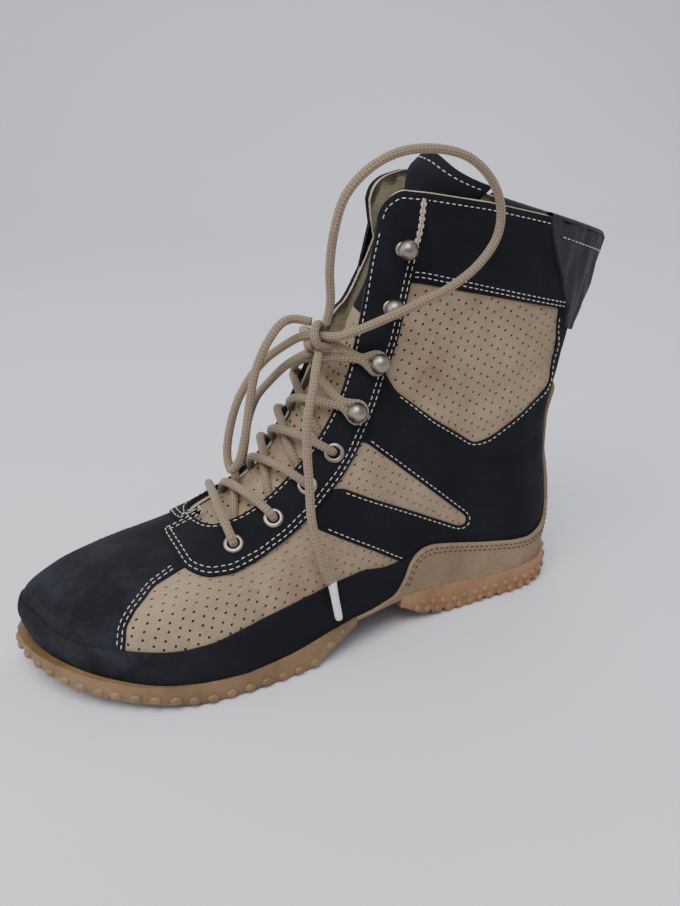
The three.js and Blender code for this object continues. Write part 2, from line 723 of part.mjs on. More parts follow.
function soleBlank() {
  const layer = (height, offset) => soleOutline(offset).map(([x, y]) => {
    const along = (x - heelBack) / bootLength;
    const lift = along > 0.45 ? Math.max(foreLift(along), 0) : Math.max(heelLift(along), 0);
    return new THREE.Vector3(x, y, height + Math.min(lift * toeSpring, heelHeight));
  });
  const shoulder = lugDepth + 1;
  const rings = [layer(-heelHeight, soleLedge - soleTaper), layer(-1, soleLedge - soleTaper),
    layer(shoulder, soleLedge), layer(heelHeight * 2, soleLedge)];
  const grid = gridGeometry(rings, true);
  const last = (rings.length - 1) * grid.count;
  const centre = grid.positions.length / 3;
  const middle = bootLength / 2 + heelBack;
  grid.positions.push(middle, 0, -heelHeight, middle, 0, heelHeight * 3);
  for (let i = 0; i < grid.count; i += 1) {
    const next = (i + 1) % grid.count;
    grid.index.push(centre, i, next, centre + 1, last + next, last + i);
  }
  return solidFromArrays(grid);
}

function soleUnit(bottomLine) {
  const first = bottomLine[0][0];
  const final = bottomLine.at(-1)[0];
  const top = featherLine(0).filter(([x]) => x > first && x < final);
  const start = [first, featherZ((first - heelBack) / bootLength)];
  const end = [final, featherZ((final - heelBack) / bootLength)];
  const profile = [...bottomLine, end, ...top.reverse(), start].filter(([x, z], i, all) => {
    const [px, pz] = all[(i + all.length - 1) % all.length];
    return Math.hypot(x - px, z - pz) > 1e-3;
  });
  return soleBlank().intersect(sidePrism(profile, -reach, reach));
}

// Two lengthwise grooves part the lugs into three rows.
const grooveRail = (along, toAlong, y) => topPrism([
  [alongX(along), y - lugGroove / 2],
  [alongX(toAlong), y - lugGroove / 2],
  [alongX(toAlong), y + lugGroove / 2],
  [alongX(along), y + lugGroove / 2],
], -1, lugDepth);
const railSpread = 0.16 * ballBreadth;

const forefootUnit = () => soleUnit(treadLine(0.6, 1, foreLift, [...foreTaper, ...foreTread]))
  .subtract(grooveRail(0.6, 0.8, railSpread))
  .subtract(grooveRail(0.6, 0.8, -railSpread));
const heelUnit = () => soleUnit(treadLine(0.015, 0.33, heelLift, heelTread))
  .subtract(grooveRail(0.05, 0.28, railSpread * 0.7))
  .subtract(grooveRail(0.05, 0.28, -railSpread * 0.7));

// Laces: a prism swept along a smooth curve through chosen points.
function cordGeometry(points, stepDiameters = 2.2, sides = 8) {
  const path = new THREE.CatmullRomCurve3(points, false, 'centripetal');
  const circle = Array.from({ length: sides }, (unused, i) => {
    const angle = (i / sides) * Math.PI * 2;
    return new THREE.Vector2(Math.cos(angle), Math.sin(angle)).multiplyScalar(laceDiameter / 2);
  });
  const steps = Math.max(4, Math.round(path.getLength() / (laceDiameter * stepDiameters)));
  return new THREE.ExtrudeGeometry(new THREE.Shape(circle), { steps, extrudePath: path, bevelEnabled: false });
}

const overEyelet = seatGap + eyeletSeat + eyeletHead + laceDiameter / 2 + laceLift;
const underHook = laceDiameter / 2 + fitGap;
const hookSideStep = 10;

// Each stop of the lacing lies over an eyelet, or beside the stem of a hook on the throat's side.
function laceStop(row, side) {
  const hooked = row.name.startsWith('hook');
  const step = hooked ? hookSideStep : 0;
  const turn = side > 0 ? row.outerTurn + step : row.innerTurn - step;
  const level = side > 0 ? row.outerLevel : row.innerLevel;
  return surfacePoint(turn, level, hooked ? underHook : overEyelet);
}

// The point of the last's line of constant turn that lies nearest to another point, lifted by offset.
function besidePoint(turn, point, offset) {
  const levels = Array.from({ length: 61 }, (unused, i) => 4 + i * 0.1);
  const distance = (level) => lastPoint(turn, level).distanceTo(point);
  const level = levels.reduce((best, next) => (distance(next) < distance(best) ? next : best));
  return surfacePoint(turn, level, offset);
}

const knotCentre = new THREE.Vector3(97, 11.5, 138);
const knotAxis = new THREE.Vector3(-0.51, 0.85, 0.1).normalize();
const knotRadius = 4.8;
const knotPitch = 4.9;
const knotTurns = 1.3;
const knotFoot = new THREE.Vector3(94, 11.5, 129.2);
const knotRoute = Array.from({ length: 12 }, (unused, i) => {
  const wound = (i / 11 - 0.5) * knotTurns;
  const away = new THREE.Vector3(0, 0, knotRadius).applyAxisAngle(knotAxis, wound * Math.PI * 2);
  return knotCentre.clone().addScaledVector(knotAxis, wound * knotPitch).add(away);
});

const barTurns = [{ share: 0.28, turn: 156 }, { share: 0.5, turn: 180 }, { share: 0.72, turn: 204 }];

function laceBar(outerStop, innerStop) {
  const between = barTurns.map(({ share, turn }) =>
    besidePoint(turn, outerStop.clone().lerp(innerStop, share), overEyelet));
  return cordGeometry([outerStop, ...between, innerStop], 3.2, 6);
}

function lacingSolid() {
  const rows = fittingRows.slice(0, 6);
  let lacing = toSolid(laceBar(laceStop(rows[0], 1), laceStop(rows[0], -1)));
  rows.slice(1).forEach((row, i) => {
    lacing = lacing.add(toSolid(laceBar(laceStop(row, 1), laceStop(rows[i], -1))));
    lacing = lacing.add(toSolid(laceBar(laceStop(rows[i], 1), laceStop(row, -1))));
  });
  const outerStop = laceStop(rows.at(-1), 1);
  const innerStop = laceStop(rows.at(-1), -1);
  const outerRise = besidePoint(barTurns[0].turn, outerStop.clone().lerp(knotFoot, 0.5), overEyelet);
  const innerRise = besidePoint(barTurns[2].turn, innerStop.clone().lerp(knotFoot, 0.4), overEyelet);
  return lacing.add(toSolid(cordGeometry([outerStop, outerRise, knotFoot, innerRise, innerStop], 2.5, 6)));
}

// Points of the free laces, chosen by hand.
const vectors = (rows) => rows.map(([x, y, z]) => new THREE.Vector3(x, y, z));
const largeLoopRoute = vectors([
  [95, 14.8, 143.6], [94.6, 17.8, 153], [97, 22, 168], [97.5, 27, 184], [94.5, 31, 198], [85.5, 34, 208],
  [73, 36, 213.5], [57, 38, 214], [43, 39, 210], [32, 39, 201], [26, 38, 190], [26, 37, 178],
  [33, 36, 167.5], [45, 35, 159], [62, 35, 153], [76, 33, 148], [85, 27, 143], [91.5, 20, 139], [96.7, 12, 138],
]);
const smallLoopRoute = vectors([
  [97.5, 10.7, 137.8], [101.5, 4.5, 136.5], [107, 0, 132.5], [117, -3, 125], [127, -5, 111], [132, -6, 96], [134, -5, 84],
  [134, -1, 79], [132, 3, 84], [129, 5, 98], [127, 6, 112], [124, 7, 126], [119, 8, 137],
  [112, 7, 144], [106, 6, 145], [98.8, 8.8, 143.5],
]);
const nearEndRoute = vectors([
  [99.3, 15.9, 131], [103.2, 21.5, 128], [108, 28, 121], [113, 32.5, 109], [114.5, 35, 97], [115, 37.5, 84.5],
  [116, 41.5, 69], [115, 45, 58], [112.5, 47, 47], [110, 48, 40.5],
]);
const nearTip = [109.8, 48.1, 39.9];
const nearTipEnd = [107.4, 50, 22.5];
const farEndRoute = vectors([
  [99.6, 9.2, 131], [105.5, -1, 123.5], [109, -13, 113], [112, -22, 103], [113, -30, 90], [113, -35, 77],
  [113, -39.5, 64], [112, -42, 53], [110.5, -43, 42.5],
]);
const farTip = [110.4, -43.1, 42];
const farTipEnd = [107.5, -44.5, 24.5];

function agletGeometry(from, to) {
  const start = new THREE.Vector3(...from);
  const axis = new THREE.Vector3(...to).sub(start).normalize();
  const tip = agletRadius * 0.6;
  const geometry = latheOf([[0, 0], [agletRadius, 0], [agletRadius, agletLength - tip], [tip, agletLength],
    [0, agletLength]], 10);
  geometry.applyQuaternion(new THREE.Quaternion().setFromUnitVectors(new THREE.Vector3(0, 1, 0), axis));
  geometry.translate(...start.toArray());
  return geometry;
}

const navyNubuck = new THREE.MeshStandardMaterial({ color: 0x23252f, roughness: 0.85, metalness: 0 });
const beigeSuede = new THREE.MeshStandardMaterial({ color: 0x8c7a62, roughness: 0.9, metalness: 0 });
const blackLeather = new THREE.MeshStandardMaterial({ color: 0x15161b, roughness: 0.5, metalness: 0 });
const gumRubber = new THREE.MeshStandardMaterial({ color: 0x9a7040, roughness: 0.6, metalness: 0 });
const darkBoard = new THREE.MeshStandardMaterial({ color: 0x1b1c22, roughness: 0.8, metalness: 0 });
const insoleCloth = new THREE.MeshStandardMaterial({ color: 0xbeb496, roughness: 0.9, metalness: 0 });
const nickel = new THREE.MeshStandardMaterial({ color: 0x9a9186, roughness: 0.3, metalness: 1 });
const laceCotton = new THREE.MeshStandardMaterial({ color: 0x96826c, roughness: 0.9, metalness: 0 });
const agletPlastic = new THREE.MeshStandardMaterial({ color: 0xd8d4cc, roughness: 0.25, metalness: 0 });

const boot = new THREE.Group();
boot.name = 'lace_up_boot';

function addPiece(name, geometry, material) {
  const piece = new THREE.Mesh(geometry, material);
  piece.name = name;
  boot.add(piece);
}

addPiece('outsole_forefoot', toGeometry(forefootUnit()), gumRubber);
addPiece('outsole_heel', toGeometry(heelUnit()), gumRubber);
addPiece('lasting_board', toGeometry(boardSolid()), darkBoard);
addPiece('insole', toGeometry(insoleSolid()), insoleCloth);
addPiece('upper', toGeometry(upperSolid()), navyNubuck);
addPiece('heel_rand', toGeometry(heelRandSolid()), beigeSuede);
addPiece('pull_tab', toGeometry(backTabSolid()), blackLeather);
addPiece('tongue', toGeometry(tongueSolid()), navyNubuck);

const fittingSeat = lastSolid(seatGap);
for (const fitting of fittings) {
  if (isEyelet(fitting)) {
    addPiece(fitting.name, placedOnLast(eyeletGeometry(), fitting.turn, fitting.level, 0), nickel);
  } else {
    const hook = toSolid(placedOnLast(hookGeometry(), fitting.turn, fitting.level, 0));
    addPiece(fitting.name, toGeometry(hook.subtract(fittingSeat)), nickel);
  }
}

addPiece('lace_crossings', toGeometry(lacingSolid()), laceCotton);
addPiece('lace_knot', cordGeometry(knotRoute, 0.9), laceCotton);
addPiece('lace_loop_large', cordGeometry(largeLoopRoute), laceCotton);
addPiece('lace_loop_small', cordGeometry(smallLoopRoute), laceCotton);
addPiece('lace_end_near', cordGeometry(nearEndRoute), laceCotton);
addPiece('lace_end_far', cordGeometry(farEndRoute), laceCotton);
addPiece('aglet_near', agletGeometry(nearTip, nearTipEnd), agletPlastic);
addPiece('aglet_far', agletGeometry(farTip, farTipEnd), agletPlastic);

export default boot;
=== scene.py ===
import bpy
import math
import numpy as np
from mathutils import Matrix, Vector, kdtree
from mathutils.geometry import delaunay_2d_cdt


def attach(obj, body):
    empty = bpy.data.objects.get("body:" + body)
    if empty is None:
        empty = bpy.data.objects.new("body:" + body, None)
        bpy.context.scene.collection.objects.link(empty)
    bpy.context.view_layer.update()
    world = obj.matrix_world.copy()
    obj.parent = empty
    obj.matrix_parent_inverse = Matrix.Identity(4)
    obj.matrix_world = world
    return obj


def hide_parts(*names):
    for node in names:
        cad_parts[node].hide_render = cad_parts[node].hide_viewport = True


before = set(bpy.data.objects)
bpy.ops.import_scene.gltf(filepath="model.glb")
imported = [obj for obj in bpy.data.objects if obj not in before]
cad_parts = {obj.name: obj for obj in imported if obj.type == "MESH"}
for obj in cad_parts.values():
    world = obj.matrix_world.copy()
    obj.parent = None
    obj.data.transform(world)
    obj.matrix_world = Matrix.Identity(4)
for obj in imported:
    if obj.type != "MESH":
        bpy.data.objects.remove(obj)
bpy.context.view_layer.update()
print("frame loaded:", len(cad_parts), "nodes")

photo = {"width": 680, "height": 906, "focal": 1000, "place": (0.281, 0.3772, 0.25), "pitch": 22,
         "forward": (-0.469, -0.883)}


def addCamera():
    data = bpy.data.cameras.new("photoCamera")
    data.sensor_fit = "HORIZONTAL"
    data.sensor_width = 36
    data.lens = 36 * photo["focal"] / photo["width"]
    data.clip_start = 0.01
    camera = bpy.data.objects.new("photoCamera", data)
    bpy.context.scene.collection.objects.link(camera)
    camera.location = photo["place"]
    pitch = math.radians(photo["pitch"])
    fx, fy = photo["forward"]
    aim = Vector((fx * math.cos(pitch), fy * math.cos(pitch), -math.sin(pitch)))
    camera.rotation_euler = aim.to_track_quat("-Z", "Y").to_euler()
    bpy.context.scene.camera = camera


addCamera()

# The last, in millimetres: x from heel to toe, y to the outer side, z up.
last = {"length": 262, "breadth": 98, "heel": 13, "high": 184, "swing": 12, "spring": 11.5, "back": -33}
wall = {"inside": -3, "panel": -1.6, "leather": -0.7, "overlay": 0.15, "suede": 1.35}

sections = [
    (-1, 0.023, -0.043, 0.95, -0.027), (0, 0.011, 0, 0.985, 0.022), (1, 0.002, 0.076, 1, 0.087),
    (2, -0.002, 0.136, 0.983, 0.14), (3, -0.002, 0.179, 0.924, 0.18), (4, 0, 0.223, 0.821, 0.217),
    (5, 0.004, 0.277, 0.71, 0.266), (6, 0.002, 0.364, 0.607, 0.348), (7, -0.014, 0.473, 0.527, 0.473),
    (8, -0.041, 0.592, 0.473, 0.625), (9, -0.077, 0.717, 0.431, 0.799), (10, -0.104, 0.832, 0.382, 1),
    (11, -0.126, 0.886, 0.366, 1.082), (12, -0.153, 0.94, 0.347, 1.168),
]
breadths = [
    (0, 0.327, 0.327), (0.09, 0.332, 0.327), (0.202, 0.337, 0.316), (0.336, 0.357, 0.306), (0.469, 0.423, 0.337),
    (0.603, 0.49, 0.408), (0.718, 0.51, 0.469), (0.813, 0.5, 0.5), (0.908, 0.449, 0.5), (1, 0.388, 0.5),
]
shaftRows = [
    (-0.07, 0.95, 0.13), (0.092, 1, 0.135), (0.255, 0.93, 0.143), (0.418, 0.86, 0.158), (0.609, 0.78, 0.18),
    (0.8, 0.74, 0.205), (1.016, 0.74, 0.229),
]
crownRows = [(0.355, 2), (0.546, 1.9), (0.698, 2.3), (0.851, 3.2), (1, 3.6)]
featherRows = [(0.011, 0), (0.202, 0), (0.355, 0.016), (0.489, 0.011), (0.698, -0.033), (0.851, -0.024), (0.985, 0)]


def smoothCurve(rows, column=1):
    at = np.array([row[0] for row in rows], float)
    value = np.array([row[column] for row in rows], float)
    rise = np.diff(value) / np.diff(at)
    product = rise[:-1] * rise[1:]
    total = rise[:-1] + rise[1:]
    middle = np.where(product > 0, 2 * product / np.where(total == 0, 1, total), 0)
    slope = np.concatenate([[rise[0]], middle, [rise[-1]]])

    def curve(x):
        x = np.asarray(x, float)
        inside = np.clip(x, at[0], at[-1])
        i = np.clip(np.searchsorted(at, inside, side="right") - 1, 0, len(at) - 2)
        span = at[i + 1] - at[i]
        t = (inside - at[i]) / span
        s = 1 - t
        y = (value[i] * (1 + 2 * t) * s * s + value[i + 1] * t * t * (3 - 2 * t)
             + span * (slope[i] * t * s * s - slope[i + 1] * t * t * s))
        return y + (x - inside) * np.where(x < at[0], slope[0], slope[-1])

    return curve


backAlong, backHigh, frontAlong, frontHigh = (smoothCurve(sections, k) for k in (1, 2, 3, 4))
outerBreadth, innerBreadth = smoothCurve(breadths, 1), smoothCurve(breadths, 2)
shaftBreadth, heelRound = smoothCurve(shaftRows, 1), smoothCurve(shaftRows, 2)
crownPower, featherRise = smoothCurve(crownRows), smoothCurve(featherRows)
ridgeLevels = np.linspace(12.6, 1, 1161)
ridgeAlong, ridgeTop = frontAlong(ridgeLevels), frontHigh(ridgeLevels)


def ridgeHigh(along):
    steep = (ridgeTop[1] - ridgeTop[0]) / (ridgeAlong[1] - ridgeAlong[0])
    return np.interp(along, ridgeAlong, ridgeTop) + np.minimum(along - ridgeAlong[0], 0) * steep


def alongX(share):
    return last["back"] + np.asarray(share) * last["length"]


def highZ(share):
    return last["heel"] + np.asarray(share) * last["high"]


def axisY(along):
    return -last["swing"] * np.clip((along - 0.584) / 0.416, 0, 1) ** 1.6


def fade(x, low, high):
    t = np.clip((x - low) / (high - low), 0, 1)
    return t * t * (3 - 2 * t)


def halfBreadth(side, along, high, back, tip):
    base = np.where(side > 0, outerBreadth(along), innerBreadth(along)) * last["breadth"] - side * axisY(along)
    shaftShare = 1 - np.clip((along - 0.393) / 0.229, 0, 1)
    narrowed = 1 + (shaftBreadth(high) - 1) * shaftShare
    toe = np.clip((along - tip + 0.282) / 0.282, 0, 1)
    heel = np.clip((back + heelRound(high) - along) / heelRound(high), 0, 1)
    crown = np.clip((high + 0.027) / (ridgeHigh(along) + 0.027), 0, 1)
    power = crownPower(along) * np.where(side > 0, 1, 1 + 1.5 * fade(high, 0.3, 0.6))
    return (base * narrowed * np.sqrt(np.maximum(1 - toe ** 2.6, 0)) * np.sqrt(np.maximum(1 - heel ** 2.1, 0))
            * np.sqrt(np.maximum(1 - crown ** power, 0)))


def lastPoint(turn, level):
    turn, level = np.broadcast_arrays(np.asarray(turn, float), np.asarray(level, float))
    share = (1 - np.cos(np.radians(turn))) / 2
    back = backAlong(level)
    along = back + (frontAlong(level) - back) * share
    high = backHigh(level) + (frontHigh(level) - backHigh(level)) * share
    side = np.where(turn <= 180, 1, -1)
    tip = np.where(level < 1, frontAlong(level), 1)
    half = np.where(np.abs(turn - 180) < 1e-6, 0, halfBreadth(side, along, high, back, tip))
    rise = featherRise(along) * np.clip(1 - level / 2.5, 0, 1)
    return np.stack([alongX(along), axisY(along) + side * half, highZ(high + rise)], -1)


def unit(v):
    return v / np.maximum(np.linalg.norm(v, axis=-1, keepdims=True), 1e-9)


def lastNormal(turn, level):
    turn, level = np.broadcast_arrays(np.asarray(turn, float), np.asarray(level, float))
    around = lastPoint((turn + 0.6) % 360, level) - lastPoint((turn - 0.6) % 360, level)
    upward = lastPoint(turn, level + 0.03) - lastPoint(turn, level - 0.03)
    return unit(np.cross(upward, around))


# Folds worn into the leather: points from the side (x, z), half width and depth in mm.
folds = [
    {"side": 1, "line": [(143, 50), (139, 38), (141, 25)], "wide": 3.2, "deep": 0.45},
    {"side": 1, "line": [(128, 52), (121, 41), (120, 28)], "wide": 3.4, "deep": 0.4},
    {"side": -1, "line": [(145, 50), (140, 38), (142, 25)], "wide": 3.2, "deep": 0.5},
    {"side": -1, "line": [(127, 52), (121, 41), (119, 28)], "wide": 3.6, "deep": 0.5},
    {"side": 1, "line": [(60, 92), (38, 82), (12, 84), (-12, 92)], "wide": 5, "deep": 0.9},
    {"side": 1, "line": [(50, 112), (30, 101), (4, 103), (-24, 110)], "wide": 5.5, "deep": 0.8},
    {"side": 1, "line": [(40, 74), (16, 68), (-10, 74)], "wide": 4.5, "deep": 0.6},
    {"side": 1, "line": [(20, 146), (-8, 138), (-34, 128)], "wide": 5, "deep": 0.6},
    {"side": -1, "line": [(58, 96), (36, 85), (10, 87), (-14, 96)], "wide": 5, "deep": 1},
    {"side": -1, "line": [(48, 114), (26, 104), (0, 105), (-26, 112)], "wide": 5.5, "deep": 0.8},
    {"side": -1, "line": [(30, 150), (0, 142), (-30, 132)], "wide": 5, "deep": 0.6},
    {"side": 0, "line": [(-52, 138), (-38, 128), (-22, 121)], "wide": 4.5, "deep": 0.4},
    {"side": 0, "line": [(-46, 122), (-32, 114), (-14, 110)], "wide": 4, "deep": 0.35},
]


def foldDepth(p):
    x, side, z = p[..., 0], np.sign(p[..., 1] - axisY((p[..., 0] - last["back"]) / last["length"])), p[..., 2]
    depth = np.zeros_like(x)
    for fold in folds:
        line = np.array(fold["line"], float)
        far = np.full_like(x, 1e9)
        for (x0, z0), (x1, z1) in zip(line[:-1], line[1:]):
            dx, dz = x1 - x0, z1 - z0
            t = np.clip(((x - x0) * dx + (z - z0) * dz) / (dx * dx + dz * dz), 0, 1)
            far = np.minimum(far, np.hypot(x - x0 - t * dx, z - z0 - t * dz))
        s = far / fold["wide"]
        shape = np.exp(-s * s) - 0.55 * np.exp(-((s - 1.9) ** 2) * 1.4)
        depth -= np.where((side == fold["side"]) | (fold["side"] == 0), shape * fold["deep"], 0)
    wave = 0.22 * np.sin(x * 0.09 + z * 0.05) * np.sin(z * 0.11 - x * 0.03 + 1) * fade(z, 30, 70)
    return depth + wave


def surface(turn, level, offset=0):
    p = lastPoint(turn, level)
    offset = np.asarray(offset, float) + foldDepth(p)
    return p + lastNormal(turn, level) * offset[..., None]


def domainOf(along, high, side):
    along, high = np.asarray(along, float), np.asarray(high, float)
    low, top = np.full_like(along, -1.6), np.full_like(along, 12.6)
    for _ in range(46):
        level = (low + top) / 2
        back = backAlong(level)
        share = np.clip((along - back) / (frontAlong(level) - back), 0, 1)
        here = backHigh(level) + (frontHigh(level) - backHigh(level)) * share
        here = here + featherRise(along) * np.clip(1 - level / 2.5, 0, 1)
        low, top = np.where(here < high, level, low), np.where(here < high, top, level)
    back = backAlong(level)
    share = np.clip((along - back) / (frontAlong(level) - back), 0, 1)
    turn = np.degrees(np.arccos(1 - 2 * share))
    return np.stack([turn if side > 0 else 360 - turn, level], -1)


def dense(points, step):
    points = np.asarray(points, float)
    out = [points[:1]]
    for a, b in zip(points[:-1], points[1:]):
        n = max(1, int(np.ceil(np.linalg.norm((b - a)) / step)))
        out.append(a + (b - a) * (np.arange(1, n + 1) / n)[:, None])
    return np.concatenate(out)


def rounded(points, times=2, closed=False):
    points = np.asarray(points, float)
    for _ in range(times):
        a, b = (points, np.roll(points, -1, 0)) if closed else (points[:-1], points[1:])
        cut = np.stack([a * 0.75 + b * 0.25, a * 0.25 + b * 0.75], 1).reshape(-1, points.shape[1])
        points = cut if closed else np.concatenate([points[:1], cut, points[-1:]])
    return points


def fromSide(rows, side, smooth=3, step=2, corner=9):
    rows = rounded(dense(np.asarray(rows, float) * [last["length"], last["high"]], corner), smooth)
    rows = dense(rows, step) / [last["length"], last["high"]]
    return domainOf(rows[:, 0], rows[:, 1], side)


def fromAbove(rows, side, step=1.5):
    rows = dense(rounded(np.asarray(rows, float) * [last["length"], last["breadth"]], 2), step)
    along, half = rows[:, 0] / last["length"], rows[:, 1]
    low, top = np.full_like(along, 0.2), ridgeHigh(along)
    for _ in range(46):
        high = (low + top) / 2
        wide = halfBreadth(np.full_like(along, side), along, high, backAlong(6.0), 1.0) > half
        low, top = np.where(wide, high, low), np.where(wide, top, high)
    return domainOf(along, high, side)


class Socket:
    def __init__(self, shader, out):
        self.shader, self.out = shader, out

    def use(self, operation, *others):
        node = self.shader.tree.nodes.new("ShaderNodeMath")
        node.operation = operation
        for k, value in enumerate((self, *others)):
            self.shader.feed(node.inputs[k], value)
        return Socket(self.shader, node.outputs[0])

    def __add__(self, other): return self.use("ADD", other)
    def __radd__(self, other): return self.use("ADD", other)
    def __mul__(self, other): return self.use("MULTIPLY", other)
    def __rmul__(self, other): return self.use("MULTIPLY", other)
    def __sub__(self, other): return self.use("SUBTRACT", other)
    def __rsub__(self, other): return (self * -1).use("ADD", other)
    def __truediv__(self, other): return self.use("DIVIDE", other)


class Shader:
    def __init__(self, name):
        self.material = bpy.data.materials.new(name)
        self.material.use_nodes = True
        self.tree = self.material.node_tree
        self.surface = self.tree.nodes["Principled BSDF"]
        self.place = self.node("ShaderNodeTexCoord").outputs["Object"]

    def feed(self, socket, value):
        if isinstance(value, Socket):
            self.tree.links.new(value.out, socket)
        elif isinstance(value, bpy.types.NodeSocket):
            self.tree.links.new(value, socket)
        else:
            socket.default_value = (*value, 1) if hasattr(value, "__len__") and len(value) == 3 and \
                socket.type == "RGBA" else value

    def node(self, kind, settings=None, **values):
        node = self.tree.nodes.new(kind)
        for key, value in (settings or {}).items():
            if key == "stops":
                ramp = node.color_ramp
                while len(ramp.elements) < len(value):
                    ramp.elements.new(0.5)
                for element, (at, level) in zip(ramp.elements, value):
                    element.position = at
                    element.color = (level, level, level, 1)
            else:
                setattr(node, key, value)
        for key, value in values.items():
            self.feed(node.inputs[key.replace("_", " ")], value)
        return node

    def noise(self, scale, detail=3, rough=0.55, vector=None):
        node = self.node("ShaderNodeTexNoise", Vector=vector or self.place, Scale=scale, Detail=detail,
                         Roughness=rough)
        return Socket(self, node.outputs["Fac"])

    def ramp(self, value, *stops):
        node = self.node("ShaderNodeValToRGB", {"stops": stops}, Fac=value)
        return Socket(self, node.outputs["Color"])

    def mix(self, share, a, b):
        node = self.node("ShaderNodeMix", {"data_type": "RGBA"})
        for socket, value in zip((node.inputs[0], node.inputs[6], node.inputs[7]), (share, a, b)):
            self.feed(socket, value)
        return Socket(self, node.outputs[2])

    def finish(self, color, rough, height=None, depth=0.0002, **constants):
        self.feed(self.surface.inputs["Base Color"], color)
        self.feed(self.surface.inputs["Roughness"], rough)
        if height is not None:
            bump = self.node("ShaderNodeBump", Height=height, Distance=depth, Strength=1.0)
            self.tree.links.new(bump.outputs[0], self.surface.inputs["Normal"])
        for key, value in constants.items():
            self.feed(self.surface.inputs[key.replace("_", " ")], value)
        return self.material


def nubuck(name, dark, light, worn, scuff=0.0, sheen=0.25, toeWear=None):
    s = Shader(name)
    cloud = s.noise(38, 4, 0.6)
    fine = s.noise(900, 3, 0.6)
    streak = s.noise(170, 5, 0.7)
    color = s.mix(s.ramp(cloud * 0.7 + fine * 0.3, (0.3, 0), (0.72, 1)), dark, light)
    mark = s.ramp(streak * 0.6 + cloud * 0.4, (0.55 - scuff * 0.1, 0), (0.72, 1))
    color = s.mix(mark * (0.25 + scuff * 0.5), color, worn)
    if toeWear:
        # rubbed pale on top of the toe
        x = Socket(s, s.node("ShaderNodeSeparateXYZ", Vector=s.place).outputs["X"])
        rubbed = s.ramp(x * 5 - 0.35, (0.42, 0), (0.72, 1)) * s.ramp(s.noise(60, 5, 0.65), (0.4, 0), (0.7, 1))
        color = s.mix(rubbed * 0.42, color, toeWear)
    grain = s.noise(2600, 2, 0.6)
    return s.finish(color, 0.86 + fine * 0.12, grain * 0.6 + fine * 0.4, 0.00025, Sheen_Weight=sheen,
                    Sheen_Roughness=0.5, Sheen_Tint=(*light, 1), Specular_IOR_Level=0.25)


navy = {"dark": (0.0032, 0.0034, 0.005), "light": (0.0085, 0.009, 0.0125), "worn": (0.02, 0.021, 0.027)}
beige = {"dark": (0.2, 0.145, 0.095), "light": (0.345, 0.265, 0.18), "worn": (0.15, 0.105, 0.068)}
suede = {"dark": (0.17, 0.12, 0.075), "light": (0.29, 0.215, 0.14), "worn": (0.11, 0.08, 0.05)}
navyLeather = nubuck("navyNubuck", **navy, toeWear=(0.045, 0.048, 0.06))
beigeLeather = nubuck("beigeNubuck", **beige, sheen=0.1)
suedeLeather = nubuck("beigeSuede", **suede, scuff=0.4, sheen=0.15)


def smoothLeather():
    s = Shader("blackLeather")
    crease = s.node("ShaderNodeTexVoronoi", {"feature": "DISTANCE_TO_EDGE"}, Vector=s.place, Scale=700.0)
    cells = s.ramp(Socket(s, crease.outputs["Distance"]), (0.0, 0), (0.25, 1))
    long = s.noise(60, 5, 0.65)
    color = s.mix(s.ramp(long, (0.35, 0), (0.7, 1)), (0.0028, 0.003, 0.004), (0.009, 0.0095, 0.012))
    return s.finish(color, 0.42 + long * 0.22, cells * 0.35 + long * 0.65, 0.0004, Specular_IOR_Level=0.5)


def liningCloth():
    s = Shader("liningCloth")
    knit = s.node("ShaderNodeTexVoronoi", {"feature": "F1"}, Vector=s.place, Scale=1100.0)
    stains = s.noise(45, 4, 0.6)
    color = s.mix(s.ramp(stains, (0.35, 0), (0.7, 1)), (0.3, 0.255, 0.17), (0.5, 0.45, 0.33))
    return s.finish(color, 0.95, Socket(s, knit.outputs["Distance"]), 0.0002, Sheen_Weight=0.2,
                    Specular_IOR_Level=0.15)


def gumRubber(name, dark, light):
    s = Shader(name)
    cloud = s.noise(55, 5, 0.6)
    dust = s.noise(420, 3, 0.7)
    color = s.mix(s.ramp(cloud, (0.3, 0), (0.7, 1)), dark, light)
    color = s.mix(s.ramp(dust, (0.56, 0), (0.75, 1)) * 0.4, color, (0.1, 0.065, 0.035))
    return s.finish(color, 0.42 + cloud * 0.2, dust * 0.4 + cloud * 0.6, 0.00012, Specular_IOR_Level=0.45)


def braid():
    s = Shader("braidedLace")
    uv = s.node("ShaderNodeUVMap").outputs["UV"]
    split = s.node("ShaderNodeSeparateXYZ", Vector=uv)
    u, v = Socket(s, split.outputs["X"]), Socket(s, split.outputs["Y"])
    wave = (u * 10).use("PINGPONG", 0.5)
    strand = ((v * 0.62 + wave * 1.2).use("FRACT") - 0.5).use("ABSOLUTE")
    rib = ((u * 10).use("FRACT") - 0.5).use("ABSOLUTE")
    height = strand * 1.1 + (0.5 - rib) * 0.9
    fuzz = s.noise(1500, 3, 0.6)
    tone = s.noise(60, 3, 0.5)
    # the colour follows the braid's relief, darker down in the grooves between strands and ribs: painted shade
    color = s.mix(s.ramp(height * 0.8 + fuzz * 0.2, (0.2, 0), (0.75, 1)), (0.11, 0.078, 0.048), (0.31, 0.235, 0.16))
    color = s.mix(s.ramp(tone, (0.45, 0), (0.7, 1)) * 0.35, color, (0.2, 0.15, 0.1))
    return s.finish(color, 0.9, height, 0.00035, Sheen_Weight=0.2, Specular_IOR_Level=0.25)


def threadLike(name, color):
    s = Shader(name)
    twist = s.noise(2500, 2, 0.5)
    return s.finish(s.mix(twist, tuple(c * 0.75 for c in color), color), 0.75, twist, 0.0001)


